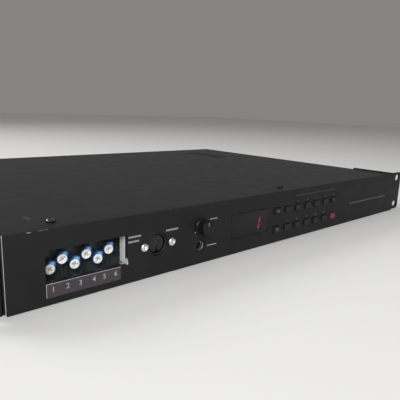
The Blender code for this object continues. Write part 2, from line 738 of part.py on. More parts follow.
def build_trimmer(index, materials):
    """One trimmer: a body on a foot on the board, and a slotted rotor near the body's lower left corner."""
    x = WINDOW_X - TRIMMER_SHIFT + TRIMMER_PITCH * (index - (TRIMMER_COUNT - 1) / 2)
    row = 0.5 if index % 2 else -0.5
    z = PANEL_MIDDLE - TRIMMER_DROP + row * TRIMMER_STAGGER
    back = TRIMMER_BOARD_FRONT - GAP - TRIMMER_BASE
    face = back - TRIMMER_DEPTH
    left, right = around(x + TRIMMER_ASIDE, TRIMMER_WIDTH / 2)
    low, top = around(z + TRIMMER_ABOVE, TRIMMER_HEIGHT / 2)
    outline = [(left, low), (right, low), (right, top), (left + TRIMMER_CUT, top), (left, top - TRIMMER_CUT)]
    mesh = bmesh.new()
    add_prism(mesh, "Y", outline, face, back)
    mesh.normal_update()
    front = facing(mesh.faces, (0, -1, 0))
    step_out(mesh, facing(mesh.faces, (0, 1, 0)), TRIMMER_BASE_INSET, TRIMMER_BASE)
    bevel(mesh, front.edges[:], TRIMMER_EDGE, 1)
    body = make_object(f"trimmer_body_{index + 1}", mesh, materials["blue_plastic"])
    bore = bmesh.new()
    stub_end = face + ROTOR_STUB_LENGTH
    stub_radius = ROTOR_STUB_RADIUS + CLEARANCE
    add_cylinder(bore, "Y", (x, z), stub_radius, face - TRIMMER_DEPTH, stub_end + GAP, SMALL_SIDES)
    combine(body, bore, "DIFFERENCE")
    build_rotor(index, x, z, face - GAP, stub_end, materials)


def build_rotor(index, x, z, back, stub_end, materials):
    face = back - ROTOR_THICKNESS
    profile = [
        (0.0, face),
        (ROTOR_RADIUS, face),
        (ROTOR_RADIUS, back),
        (ROTOR_STUB_RADIUS, back),
        (ROTOR_STUB_RADIUS, stub_end),
        (0.0, stub_end),
    ]
    mesh = bmesh.new()
    add_lathe(mesh, "Y", (x, z), profile, SMALL_SIDES)
    rotor = make_object(
        f"trimmer_rotor_{index + 1}", mesh, materials["white_plastic"], pivot=(x, back, z), smooth=True
    )
    slot = bmesh.new()
    deep = (face - ROTOR_THICKNESS, face + ROTOR_SLOT_DEPTH)
    add_box(slot, around(x, ROTOR_SLOT_LENGTH / 2), deep, around(z, ROTOR_SLOT_WIDTH / 2))
    combine(rotor, slot, "DIFFERENCE")


def build_round_socket(name, x, mouth, seat, inward, pins, spread, screw_holes, material):
    """A round socket: ring, groove for the plug's skirt, and an insert with pin holes."""
    across = (x, PANEL_MIDDLE)
    mesh = bmesh.new()
    add_cylinder(mesh, "Y", across, SOCKET_RING, mouth, mouth + inward * SOCKET_LENGTH)
    socket = make_object(name, mesh, material, smooth=True)
    flange = bmesh.new()
    deep = (seat, seat + inward * SOCKET_FLANGE)
    add_box(flange, around(x, SOCKET_FLANGE_WIDTH / 2), deep, around(PANEL_MIDDLE, SOCKET_FLANGE_HEIGHT / 2))
    combine(socket, flange, "UNION")
    bore = SOCKET_RING - SOCKET_RING_WALL
    insert = bore - SOCKET_GROOVE
    face = mouth + inward * SOCKET_INSERT_RECESS
    floor = mouth + inward * SOCKET_GROOVE_DEPTH
    past = mouth - inward * SOCKET_INSERT_RECESS
    profile = [(0.0, past), (bore, past), (bore, floor), (insert, floor), (insert, face), (0.0, face)]
    well = bmesh.new()
    add_lathe(well, "Y", across, profile)
    combine(socket, well, "DIFFERENCE")
    holes = bmesh.new()
    for index in range(pins):
        turn = math.pi / 2 + spread * (index / (pins - 1) - 0.5)
        place = (x + SOCKET_PIN_CIRCLE * math.cos(turn), PANEL_MIDDLE + SOCKET_PIN_CIRCLE * math.sin(turn))
        ends = (face - inward * SOCKET_PIN_RADIUS, face + inward * SOCKET_PIN_DEPTH)
        add_cylinder(holes, "Y", place, SOCKET_PIN_RADIUS, *ends, SMALL_SIDES // 2)
    for hole in screw_holes:
        ends = (seat - inward * SOCKET_FLANGE, seat + inward * 2 * SOCKET_FLANGE)
        add_cylinder(holes, "Y", (hole, PANEL_MIDDLE), SCREW_SHANK + CLEARANCE, *ends, SMALL_SIDES)
    combine(socket, holes, "DIFFERENCE")


def build_sockets(materials):
    plastic = materials["black_plastic"]
    full = 2 * math.pi * (INPUT_PINS - 1) / INPUT_PINS
    mouth = FRONT + SOCKET_RECESS
    screws = socket_screw_places()
    build_round_socket("input_socket", SOCKET_X, mouth, WALL_BACK + GAP, 1, INPUT_PINS, full, screws, plastic)
    for index, x in enumerate(data_places()):
        name = f"data_socket_{index + 1}"
        build_round_socket(name, x, REAR_FACE, REAR_INNER - GAP, -1, DATA_PINS, DATA_SPREAD, [], plastic)


def build_volume(materials):
    """Pot with its bushing, the shaft that turns in it and the knob on the shaft."""
    across = (VOLUME_X, VOLUME_Z)
    seat = WALL_BACK + GAP
    back = CONTROL_BOARD_FRONT - GAP
    mesh = bmesh.new()
    add_box(mesh, around(VOLUME_X, POT_SIZE / 2), (seat, back), around(VOLUME_Z, POT_SIZE / 2))
    pot = make_object("volume_pot", mesh, materials["grey_plastic"])
    bushing = bmesh.new()
    add_cylinder(bushing, "Y", across, bushing_radius(), FRONT + BUSHING_RECESS, seat + SHAFT_SEAT)
    combine(pot, bushing, "UNION")
    bore = bmesh.new()
    shaft_end = seat + SHAFT_SEAT
    add_cylinder(bore, "Y", across, SHAFT_RADIUS + CLEARANCE, FRONT - KNOB_LIFT, shaft_end + GAP)
    combine(pot, bore, "DIFFERENCE")
    pivot = (VOLUME_X, FRONT, VOLUME_Z)
    knob_back = FRONT - KNOB_LIFT
    shaft_front = knob_back - KNOB_HEIGHT + KNOB_CAP + GAP
    shaft = bmesh.new()
    add_cylinder(shaft, "Y", across, SHAFT_RADIUS, shaft_front, shaft_end)
    make_object("volume_shaft", shaft, materials["steel"], pivot=pivot, smooth=True)
    build_knob(across, knob_back, pivot, materials)


def build_knob(across, back, pivot, materials):
    face = back - KNOB_HEIGHT
    bore = SHAFT_RADIUS + CLEARANCE
    profile = [
        (0.0, face),
        (KNOB_RADIUS - 2 * KNOB_TAPER, face),
        (KNOB_RADIUS - KNOB_TAPER, face + KNOB_TAPER),
        (KNOB_RADIUS, back),
        (bore, back),
        (bore, face + KNOB_CAP),
        (0.0, face + KNOB_CAP),
    ]
    mesh = bmesh.new()
    add_lathe(mesh, "Y", across, profile)
    knob = make_object("volume_knob", mesh, materials["black_plastic"], pivot=pivot, smooth=True)
    pointer = bmesh.new()
    high = (across[1] + POINTER_START, across[1] + 2 * KNOB_RADIUS)
    add_box(pointer, around(across[0], POINTER_WIDTH / 2), (face - POINTER_DEPTH, face + POINTER_DEPTH), high)
    combine(knob, pointer, "DIFFERENCE")


def build_jack(name, x, z, mouth, seat, inward, material):
    """A jack socket: square body behind the wall, round bushing through it, plain bore."""
    half = JACK_SIZE / 2
    end = seat + inward * JACK_LENGTH
    mesh = bmesh.new()
    add_box(mesh, around(x, half), (seat, end), around(z, half))
    jack = make_object(name, mesh, material)
    bushing = bmesh.new()
    add_cylinder(bushing, "Y", (x, z), JACK_BUSHING, mouth, seat + inward * JACK_BORE_END)
    combine(jack, bushing, "UNION")
    bore = bmesh.new()
    add_cylinder(bore, "Y", (x, z), JACK_BORE, mouth - inward * JACK_BORE, end - inward * JACK_BORE_END)
    combine(jack, bore, "DIFFERENCE")


def build_jacks(materials):
    plastic = materials["black_plastic"]
    build_jack("phones_jack", VOLUME_X, PHONES_Z, FRONT + JACK_RECESS, WALL_BACK + GAP, 1, plastic)
    for index, x in enumerate(output_places()):
        mouth = REAR_FACE + OUTPUT_PROUD
        build_jack(f"output_jack_{index + 1}", x, PANEL_MIDDLE, mouth, REAR_INNER - GAP, -1, plastic)


def build_display(materials):
    """A smoked lens with a rim behind the panel, and the figure module on the control board."""
    width = DISPLAY_WIDTH / 2 - CLEARANCE
    height = DISPLAY_HEIGHT / 2 - CLEARANCE
    rim = LENS_RIM + CLEARANCE
    rim_back = WALL_FRONT + LENS_RIM_THICKNESS
    wide = around(DISPLAY_X, width + rim)
    mesh = bmesh.new()
    faces = add_box(mesh, wide, (WALL_FRONT, rim_back), around(PANEL_MIDDLE, height + rim))
    step_out(mesh, facing(faces, (0, -1, 0)), rim, WALL_FRONT - FRONT - LENS_RECESS)
    make_object("display_lens", mesh, materials["smoked_plastic"])
    module = bmesh.new()
    deep = (rim_back + MODULE_CLEARANCE, CONTROL_BOARD_FRONT - GAP)
    add_box(module, around(DISPLAY_X, MODULE_WIDTH / 2), deep, around(PANEL_MIDDLE, MODULE_HEIGHT / 2))
    make_object("display_module", module, materials["black_plastic"])


def control_board_fittings():
    """Switches in front of the control board and the cable's header behind it."""
    mesh = bmesh.new()
    for _, _, x, z in button_places():
        deep = (CONTROL_BOARD_FRONT - SWITCH_HEIGHT, CONTROL_BOARD_FRONT + BOARD / 2)
        add_box(mesh, around(x, SWITCH_SIZE / 2), deep, around(z, SWITCH_SIZE / 2))
    back = CONTROL_BOARD_FRONT + BOARD
    wide = around(CABLE_X, CABLE_WIDTH / 2 + HEADER_SIDE)
    add_box(mesh, wide, (back - BOARD / 4, back + HEADER_DEPTH), around(PANEL_MIDDLE, HEADER_HEIGHT / 2))
    return mesh


def build_control_board(materials):
    mesh = bmesh.new()
    deep = (CONTROL_BOARD_FRONT, CONTROL_BOARD_FRONT + BOARD)
    add_box(mesh, control_board_span(), deep, (BOARD_BOTTOM, BOARD_TOP))
    board = make_object("control_board", mesh, materials["green_board"])
    hole = bmesh.new()
    half = JACK_SIZE / 2 + CLEARANCE
    past = (CONTROL_BOARD_FRONT - BOARD, CONTROL_BOARD_FRONT + 2 * BOARD)
    add_box(hole, around(VOLUME_X, half), past, around(PHONES_Z, half))
    combine(board, hole, "DIFFERENCE")
    combine(board, control_board_fittings(), "UNION")


def button_name(row, column):
    if column == 0:
        return ("up_key", "down_key")[row]
    if row == 1 and column == BUTTON_COLUMNS - 1:
        return "red_button"
    return f"{('upper', 'lower')[row]}_button_{column}"


def build_button(row, column, x, z, materials):
    """A cap through panel and chassis wall, with a rim behind the wall and a stem to its switch."""
    name = button_name(row, column)
    seat = WALL_BACK + GAP
    rim_back = seat + BUTTON_RIM_DEPTH
    rim = CLEARANCE + BUTTON_RIM
    wide = around(x, BUTTON_WIDTH / 2 + rim)
    mesh = bmesh.new()
    faces = add_box(mesh, wide, (seat, rim_back), around(z, BUTTON_HEIGHT / 2 + rim))
    front, back = facing(faces, (0, -1, 0)), facing(faces, (0, 1, 0))
    cap = step_out(mesh, front, rim, seat - FRONT + BUTTON_PROUD)
    stem_end = CONTROL_BOARD_FRONT - SWITCH_HEIGHT - BUTTON_TRAVEL - GAP
    step_out(mesh, back, BUTTON_STEM_INSET, stem_end - rim_back)
    bevel(mesh, cap.edges[:], BUTTON_EDGE, 2)
    material = materials["red_plastic" if name == "red_button" else "black_plastic"]
    make_object(name, mesh, material, pivot=(x, FRONT, z))


def main_board_fittings():
    """Chips and the cable's header on the main board."""
    mesh = bmesh.new()
    left, right = MAIN_BOARD_SPAN
    front = MAIN_BOARD_DEPTH[0]
    on_board = (MAIN_BOARD_TOP - BOARD / 2, MAIN_BOARD_TOP + CHIP_HEIGHT)
    for column in range(CHIP_COLUMNS):
        x = left + (right - left) * (column + 0.5) / CHIP_COLUMNS
        for row in range(CHIP_ROWS):
            y = front + CHIP_ROW_START + CHIP_ROW_PITCH * row
            add_box(mesh, around(x, CHIP_WIDTH / 2), around(y, CHIP_LENGTH / 2), on_board)
    deep = (front + HEADER_DEPTH, front + 2 * HEADER_DEPTH)
    tall = (MAIN_BOARD_TOP - BOARD / 4, MAIN_BOARD_TOP + HEADER_HEIGHT)
    add_box(mesh, around(CABLE_X, CABLE_WIDTH / 2 + HEADER_SIDE), deep, tall)
    return mesh


def build_main_board(materials):
    mesh = bmesh.new()
    add_box(mesh, MAIN_BOARD_SPAN, MAIN_BOARD_DEPTH, (MAIN_BOARD_BOTTOM, MAIN_BOARD_TOP))
    board = make_object("main_board", mesh, materials["green_board"])
    combine(board, main_board_fittings(), "UNION")


def build_cable(materials):
    """A flat cable that sinks from the control board's header to the main board's."""
    start = (CONTROL_BOARD_FRONT + BOARD + HEADER_DEPTH + GAP, PANEL_MIDDLE)
    end = (MAIN_BOARD_DEPTH[0] + HEADER_DEPTH - GAP, MAIN_BOARD_TOP + HEADER_HEIGHT / 2)
    middle = []
    for step in range(CABLE_STEPS + 1):
        share = step / CABLE_STEPS
        ease = (1 - math.cos(math.pi * share)) / 2
        middle.append((start[0] + (end[0] - start[0]) * share, start[1] + (end[1] - start[1]) * ease))
    half = CABLE_THICKNESS / 2
    outline = [(y, z - half) for y, z in middle] + [(y, z + half) for y, z in reversed(middle)]
    mesh = bmesh.new()
    add_prism(mesh, "X", outline, *around(CABLE_X, CABLE_WIDTH / 2))
    make_object("ribbon_cable", mesh, materials["grey_plastic"])


def build_transformer(materials):
    """Iron core, coil and the foot plate that holds it to the floor."""
    low = SHEET + GAP
    middle = low + CORE_HEIGHT / 2
    deep = around(TRANSFORMER_Y, CORE_DEPTH / 2)
    mesh = bmesh.new()
    add_box(mesh, around(TRANSFORMER_X, CORE_WIDTH / 2), deep, (low, low + CORE_HEIGHT))
    transformer = make_object("transformer", mesh, materials["core_iron"])
    coil = bmesh.new()
    tall = around(middle, COIL_HEIGHT / 2)
    add_box(coil, around(TRANSFORMER_X, COIL_WIDTH / 2), around(TRANSFORMER_Y, COIL_DEPTH / 2), tall)
    combine(transformer, coil, "UNION")
    foot = bmesh.new()
    wide = around(TRANSFORMER_X, CORE_WIDTH / 2 + FOOT_SIDE)
    add_box(foot, wide, around(TRANSFORMER_Y, FOOT_DEPTH / 2), (low, low + FOOT_THICKNESS))
    combine(transformer, foot, "UNION")


def inlet_wells(outer, mains_x, rocker_x):
    """The mains cavity and the switch's well, open to the rear."""
    past = outer + INLET_FLANGE
    mesh = bmesh.new()
    deep = (outer - MAINS_DEPTH, past)
    add_box(mesh, around(mains_x, MAINS_WIDTH / 2), deep, around(PANEL_MIDDLE, MAINS_HEIGHT / 2))
    deep = (outer - ROCKER_WELL_DEPTH, past)
    add_box(mesh, around(rocker_x, ROCKER_WELL_WIDTH / 2), deep, around(PANEL_MIDDLE, ROCKER_WELL_HEIGHT / 2))
    return mesh


def inlet_blades(outer, mains_x):
    """Three contact blades on the cavity's floor, the middle one higher."""
    deep = (outer - MAINS_DEPTH - BLADE_WIDTH, outer - BLADE_RECESS)
    mesh = bmesh.new()
    for index in (-1, 0, 1):
        x = mains_x + index * BLADE_PITCH
        z = PANEL_MIDDLE + BLADE_STAGGER * (1 - 2 * abs(index))
        add_box(mesh, around(x, BLADE_WIDTH / 2), deep, around(z, BLADE_HEIGHT / 2))
    return mesh


def build_inlet(materials):
    """Mains inlet and switch well in one moulding, through the rear panel."""
    seat = REAR_FACE + GAP
    outer = seat + INLET_FLANGE
    mains_x = INLET_X + MAINS_OFFSET
    rocker_x = INLET_X + ROCKER_OFFSET
    wide = around(INLET_X, INLET_WIDTH / 2 + INLET_FLANGE_SIDE)
    mesh = bmesh.new()
    faces = add_box(mesh, wide, (seat, outer), around(PANEL_MIDDLE, INLET_HEIGHT / 2 + INLET_FLANGE_SIDE))
    step_out(mesh, facing(faces, (0, -1, 0)), INLET_FLANGE_SIDE, INLET_DEPTH - INLET_FLANGE)
    inlet = make_object("mains_inlet", mesh, materials["black_plastic"])
    combine(inlet, inlet_wells(outer, mains_x, rocker_x), "DIFFERENCE")
    sockets = bmesh.new()
    reach = ROCKER_WELL_WIDTH / 2 + ROCKER_PIN_LENGTH + GAP
    axis = (outer - ROCKER_AXIS_DEPTH, PANEL_MIDDLE)
    add_cylinder(sockets, "X", axis, ROCKER_PIN_RADIUS + CLEARANCE, *around(rocker_x, reach), SMALL_SIDES)
    combine(inlet, sockets, "DIFFERENCE")
    combine(inlet, inlet_blades(outer, mains_x), "UNION")
    build_rocker(rocker_x, axis, materials)


def build_rocker(x, axis, materials):
    """The power rocker, tilted to on, with a pin at each side in the inlet's wall."""
    reach = ROCKER_WELL_HEIGHT / 2 - ROCKER_END_CLEARANCE
    outline = [
        (ROCKER_END_RISE, -reach),
        (ROCKER_MIDDLE_RISE, 0.0),
        (ROCKER_END_RISE, reach),
        (-ROCKER_END_DROP, reach),
        (-ROCKER_MIDDLE_DROP, 0.0),
        (-ROCKER_END_DROP, -reach),
    ]
    half = ROCKER_WELL_WIDTH / 2 - CLEARANCE
    pin_end = ROCKER_WELL_WIDTH / 2 + ROCKER_PIN_LENGTH
    mesh = bmesh.new()
    add_prism(mesh, "X", outline, -half, half)
    rocker = make_object("power_rocker", mesh, materials["black_plastic"])
    rocker.location = (x, *axis)
    rocker.rotation_euler.x = ROCKER_TILT
    pins = bmesh.new()
    add_cylinder(pins, "X", axis, ROCKER_PIN_RADIUS, *around(x, pin_end), SMALL_SIDES)
    combine(rocker, pins, "UNION")


def build():
    clear_scene()
    materials = make_materials()
    build_front_panel(materials)
    build_chassis(materials)
    for side, word in ((-1, "left"), (1, "right")):
        build_side_rail(f"side_rail_{word}", side, materials)
        build_rack_ear(f"rack_ear_{word}", side, materials)
    build_rear_panel(materials)
    build_top_cover(materials)
    build_screws(materials)
    build_trimmer_board(materials)
    for index in range(TRIMMER_COUNT):
        build_trimmer(index, materials)
    build_sockets(materials)
    build_volume(materials)
    build_jacks(materials)
    build_display(materials)
    build_control_board(materials)
    for row, column, x, z in button_places():
        build_button(row, column, x, z, materials)
    build_main_board(materials)
    build_cable(materials)
    build_transformer(materials)
    build_inlet(materials)


build()
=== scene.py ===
"""Finish and finer shapes of a one-space rack module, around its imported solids.

Metres, +X to the right as seen from the front, +Y to the rear, +Z up.
"""
import math

import bmesh
import bpy
from mathutils import Matrix, Vector


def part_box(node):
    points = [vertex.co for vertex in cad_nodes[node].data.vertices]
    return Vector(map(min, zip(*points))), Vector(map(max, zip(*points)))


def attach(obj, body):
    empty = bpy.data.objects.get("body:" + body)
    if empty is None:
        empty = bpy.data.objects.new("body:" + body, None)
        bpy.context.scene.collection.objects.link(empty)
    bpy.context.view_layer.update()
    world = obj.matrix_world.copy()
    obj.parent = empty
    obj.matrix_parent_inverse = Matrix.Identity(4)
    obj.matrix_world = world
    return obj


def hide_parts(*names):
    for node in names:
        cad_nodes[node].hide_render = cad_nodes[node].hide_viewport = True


# Camera, from the photograph's perspective, with lens and sensor in millimetres
CAMERA_PLACE = (-0.2868, -0.3829, 0.1104)
CAMERA_LOOK = (0.6578, 0.7241, -0.2075)
CAMERA_UP = (0.1124, 0.1781, 0.9776)
CAMERA_LENS = 38.83
CAMERA_SENSOR = 36.0
CAMERA_CLIP = 0.01

# Light and floor
BACKDROP = (0.235, 0.229, 0.227)
FLOOR_COLOUR = (0.86, 0.86, 0.85)
FLOOR_SIZE = 8.0
FLOOR_DROP = 0.0001
LAMPS = {  # place, aim, size, spread in degrees, power
    "key": ((-1.05, -1.45, 0.95), (-0.10, -0.16, 0.02), 1.00, 120, 13.0),
    "top": ((0.10, 0.20, 1.60), (0.00, 0.00, 0.00), 1.40, 180, 2.6),
    "rear": ((-1.20, 1.30, 1.10), (0.00, 0.16, 0.02), 1.00, 120, 9.0),
}

# Facets, eased edges, directions and tolerances
ROUND = 64
SMALL_ROUND = 32
EDGE = 0.00025
FINE_EDGE = 0.00015
SOFT_EDGE = 0.0003
COVER_EDGE = 0.0004
SHARP_ANGLE = math.radians(40)
FLAT_ANGLE = math.radians(0.5)  # faces that differ by less are one
REARWARD = (0, 1, 0)
UPWARD = (0, 0, 1)
SAME = 0.00005  # places closer than this are the same
MERGE = 1e-6  # points closer than this become one
FACING = 0.9  # least cosine of a face that looks along an axis

# Sheet metal
SHEET = 0.0012  # chassis and rear panel
CUT_PAST = 0.002  # how far a tool runs past what it cuts
SLOT_END = 0.499  # radius of a slot's round end, as a share of its width
CASE_SHEETS = {"rear_panel": "rear_sheet", "side_rail_left": "rail_left", "side_rail_right": "rail_right"}

# Front panel cut-outs
WINDOW_X = (-0.1992, -0.1472)
WINDOW_Z = (0.0130, 0.0319)
DISPLAY_HOLE = (0.0440, 0.0200)
BUTTON_HOLE = (0.0086, 0.0056)
BUTTON_HOLE_CORNER = 0.0007
SCREW_HOLE = 0.0016
ROUND_HOLES = {  # radii
    "input_socket": 0.0078,
    "volume_knob": 0.0047,
    "phones_jack": 0.0048,
    "input_screw_left": SCREW_HOLE,
    "input_screw_right": SCREW_HOLE,
}

# Rack ears
EAR_THICKNESS = 0.0020
EAR_BEND = 0.0010
EAR_CORNER = 0.0035
SLOT_INSET = 0.00875
SLOT_SPACING = 0.03175
SLOT_WIDTH = 0.0100
SLOT_HEIGHT = 0.0068
EAR_SCREW_HOLE = 0.0020

# Cover vents
VENT_COUNT = 9
VENT_LENGTH = 0.0275
VENT_WIDTH = 0.0026
VENT_PITCH = 0.0078
VENT_MIDDLE = (0.1540, 0.0909)

# Screws: radius and height of the head, radius and length of the shank
PAN_SCREW = (0.0029, 0.0018, 0.0013, 0.0075)
LOW_SCREW = (0.0034, 0.0013, 0.0017, 0.0075)
HEAD_PROFILE = (  # shares of radius and height
    (0.0, 1.0), (0.45, 0.99), (0.74, 0.88), (0.92, 0.66), (1.0, 0.36), (1.0, 0.08), (0.96, 0.0),
)
RECESS_WIDTH = 0.18  # shares of the head's radius
RECESS_LENGTH = 0.58
RECESS_DEPTH = 0.45  # share of the head's height
RECESS_TAPER = 0.5

# Trimmers
TRIMMERS = range(1, 7)
TRIMMER_PLATE = 0.0027  # depth of the body in front of its foot
TRIMMER_FOOT_INSET = 0.0010
TRIMMER_CUT = 0.0032  # slanting cut at the upper left corner
TRIMMER_CORNER = 0.0008  # radius of the upper right one
TRIMMER_BORE = 0.0013
TRIMMER_BORE_DEPTH = 0.0023
TRIMMER_HIGHLIGHT = Vector((0.0018, 0, 0.0024))  # middle of the painted highlight, from the rotor's axis
TRIMMER_HIGHLIGHT_REACH = (0.0022, 0.0040, 0.0020)
ROTOR_SIDES = 48
ROTOR_THICKNESS = 0.0012
ROTOR_STUB = 0.0010
ROTOR_RIM = ((0.0003, 0.0), (0.00009, 0.00009), (0.0, 0.0003))  # inwards from the edge, depth
ROTOR_SLOT_WIDTH = 0.0008
ROTOR_SLOT_DEPTH = 0.0005
ROTOR_SLOT_REACH = (0.0019, 0.0011)
ROTOR_SLOT_INSIDE = 0.9  # share of the rotor's radius
ROTOR_TURNS = (40, -25, 12, 45, 20, -8)  # degrees

# Sockets and jacks, with profiles as radius and depth from the mouth
INPUT_PINS = 7
INPUT_SPREAD = 2 * math.pi * (INPUT_PINS - 1) / INPUT_PINS
INPUT_RECESS = 0.0006
DATA_PINS = 5
DATA_SPREAD = math.pi
SOCKET_PROFILE = (  # insert, groove, lip, side and rear end
    (0.0, 0.0012), (0.0054, 0.0012), (0.0057, 0.0015), (0.0057, 0.0080), (0.0067, 0.0080), (0.0067, 0.0004),
    (0.0070, 0.0), (0.0073, 0.0), (0.0075, 0.0002), (0.0075, 0.0170), (0.0, 0.0170),
)
SOCKET_FLANGE = 0.0014
SOCKET_FLANGE_CORNER = 0.0020
PIN_CIRCLE = 0.0034
PIN_HOLE_START = 0.0005
PIN_HOLE = (0.0050, 0.0007, 20)  # length, radius and sides
NOTCH = ((-0.0012, 0.0005, -0.0060), (0.0012, 0.0060, -0.0049))  # corners: across, inwards and up
SHIELD = ((0.00635, 0.00660), (0.0010, 0.0078))  # radii and depths
CONTACT = ((0.00035, 0.00060), (0.0018, 0.0050))
CONTACT_SIDES = 16
PHONES_RECESS = 0.0004
SLEEVE_PROFILE = (
    (0.00316, 0.0004), (0.00322, 0.0002), (0.00326, 0.0004), (0.00326, 0.0030), (0.00316, 0.0030),
    (0.00316, 0.0004),
)
WASHER_PROFILE = (  # radius and height above the rear panel
    (0.0048, 0.00005), (0.0078, 0.00005), (0.0078, 0.00045), (0.0076, 0.00060), (0.0048, 0.00060),
    (0.0048, 0.00005),
)
NUT_BORE = 0.0048
NUT_RADIUS = 0.0069
NUT_START = 0.00065
NUT_HEIGHT = 0.0020

# Volume knob, with profiles as radius past the knob's own and depth
KNOB_BARREL = -0.0006
KNOB_FACE = ((-0.0018, 0.0003), (-0.0015, 0.0), (-0.0012, 0.0), (KNOB_BARREL, 0.0007))  # from the front
KNOB_SKIRT = ((KNOB_BARREL, -0.0019), (-0.0002, -0.0015), (0.0, -0.0012), (0.0, -0.0001))  # from the back
KNOB_BORE = 0.0032
KNOB_CAP = 0.0025
KNOB_FLUTES = 36
KNOB_FLUTE_SCALE = 0.95
KNOB_SHARP_ANGLE = math.radians(25)
POINTER_WIDTH = 0.0008
POINTER_DEPTHS = (0.0001, 0.0006)
POINTER_ENDS = (0.0014, -0.0017)  # from the knob's axis, and from its edge
POINTER_EDGE = 0.00008

# Push buttons
BUTTON_SIZE = (0.0080, 0.0050)
BUTTON_CORNER = 0.0010
BUTTON_EDGE = 0.00035
BUTTON_STEP = 0.00025
BUTTON_DISH = 0.00015
BUTTON_FACING = 0.99  # tells the flat face from its eased edge
BUTTON_RIM = 0.0012
BUTTON_STEM_INSET = 0.0022
ARROW_SIZE = 0.0015
ROW_BUTTONS = [f"upper_button_{number}" for number in range(1, 7)]
ROW_BUTTONS += [f"lower_button_{number}" for number in range(1, 6)]
BUTTONS = ["up_key", "down_key", "red_button", *ROW_BUTTONS]

# Figure display
FIGURE_COUNT = 3
FIGURE_HEIGHT = 0.0100
FIGURE_WIDTH = 0.0056
FIGURE_SLANT = math.radians(10)
FIGURE_PITCH = 0.0125
FIGURE_LAST_X = -0.0212
FIGURE_Z = 0.0200
FIGURE_CORNERS = {"a": (-1, 1), "b": (1, 1), "c": (-1, 0), "d": (1, 0), "e": (-1, -1), "f": (1, -1)}
FIGURE_SEGMENTS = ("ab", "bd", "df", "ef", "ce", "ac", "cd")
FIGURE_ONE = ("bd", "df")
SEGMENT_WIDTH = 0.0017
SEGMENT_THICKNESS = 0.0002
SEGMENT_GAP = 0.0002
SEGMENT_CUT = 0.25  # share of its width

# Label below the window
LABEL_X = (-0.1994, -0.1522)
LABEL_Z = (0.0046, 0.0129)
LABEL_THICKNESS = 0.0002
LABEL_RECESS = LABEL_THICKNESS / 3
LABEL_BORDER = 0.0003
STRING_NUMBERS = (-0.1954, -0.1869, -0.1791, -0.1704, -0.1635, -0.1557)
STRING_NUMBER_Z = 0.0091
STRING_NUMBER_HEIGHT = 0.0032

# Print on the panel, with bars and rules as their ends along x and z
PRINT_THICKNESS = 0.00004
PRINT_SINK = 0.00001
TYPE_SCALE = 1.4  # size of the type for a figure's height
NUMBER_HEIGHT = 0.0018
NUMBER_RISE = 0.0050  # above a button's middle
TICK_SIZE = 0.0008
TICK_ASIDE = 0.0049  # from the knob's axis
TICK_DROP = 0.0042
CONTROL_BARS = (
    ((-0.1466, -0.1372), (0.0297, 0.0309)),
    ((-0.1466, -0.1386), (0.0266, 0.0278)),
    ((-0.1173, -0.1069), (0.0296, 0.0308)),
    ((-0.0775, -0.0699), (0.0318, 0.0326)),
    ((-0.0793, -0.0699), (0.0122, 0.0131)),
)
RULES = (((0.0257, 0.0932), (0.0383, 0.0386)), ((0.1200, 0.2000), (0.0196, 0.0206)))

# Mains inlet
MAINS_OFFSET = -0.0085
MAINS_REACH = (0.0095, 0.0060)
BLADE_DEPTHS = (0.0045, 0.0149)  # from the inlet's face

# Wear, black patches and painted highlights that lie at one place, with depths from the panel's face and
# reach along each axis
PANEL_CHIPS = (  # x, depth and reach, on the panel's upper edge
    (-0.2074, 0.0, (0.0023, 0.0008, 0.0006)),
    (-0.1975, 0.0006, (0.0012, 0.0007, 0.0005)),
    (-0.2008, 0.0003, (0.0035, 0.0004, 0.0003)),
    (-0.1135, 0.0, (0.0007, 0.0005, 0.0003)),
)
# painted highlight at the foot of the window's right jamb
JAMB_HIGHLIGHT = (WINDOW_X[1], 0.0012, WINDOW_Z[0] + 0.0018)
JAMB_REACH = (0.0010, 0.0032, 0.0040)
STREAK = (-0.1955, -0.1290)  # x and y on the cover
STREAK_REACH = (0.0022, 0.0090, 0.0100)
END_LINE = ((0.0007, 0.0009), (0.0018, 0.0021))  # depths where the plate's bright line begins and stops
# painted highlight on the window's bent cheek: its depth and reach
CHEEK_HIGHLIGHT_DEPTH = 0.0060
CHEEK_HIGHLIGHT_REACH = (0.0060, 0.0120, 0.0400)
SILL_REACH = (0.2000, 0.0040, 0.0014)
SILL_STOP = (0.0030, 0.0022)  # before the cheek
END_BLACK = (0.0003, 0.0001)  # in from the panel's end, where the sheet turns black

# Finishes
PAINT_BLACK = (0.014, 0.014, 0.015)
OXIDE_BLACK = (0.018, 0.018, 0.019)
NOISE_ROUGHNESS = 0.55
MID_NOISE = (0.3, 0.7)  # where most of a noise's values lie
PAINTS = {  # dark and pale tone, gloss, shine, grain
    "panel_paint": ((0.0150, 0.0152, 0.0158), (0.0180, 0.0182, 0.0188), (0.46, 0.56), 0.10),
    "case_paint": ((0.0140, 0.0140, 0.0146), (0.0170, 0.0170, 0.0176), (0.46, 0.56), 0.12),
    "cover_paint": ((0.0110, 0.0108, 0.0110), (0.0130, 0.0127, 0.0128), (0.42, 0.48), 0.26, 1000.0),
}
METALS = {  # colour, gloss, stretch
    "nickel": ((0.74, 0.73, 0.71), (0.22, 0.34)),
    "dull_nickel": ((0.42, 0.41, 0.39), (0.36, 0.50)),
    "contact": ((0.075, 0.073, 0.070), (0.40, 0.52)),
    "sleeve": ((0.86, 0.85, 0.82), (0.36, 0.44)),
    "blade": ((0.62, 0.56, 0.42), (0.30, 0.42), (1.0, 0.1, 1.0)),
}
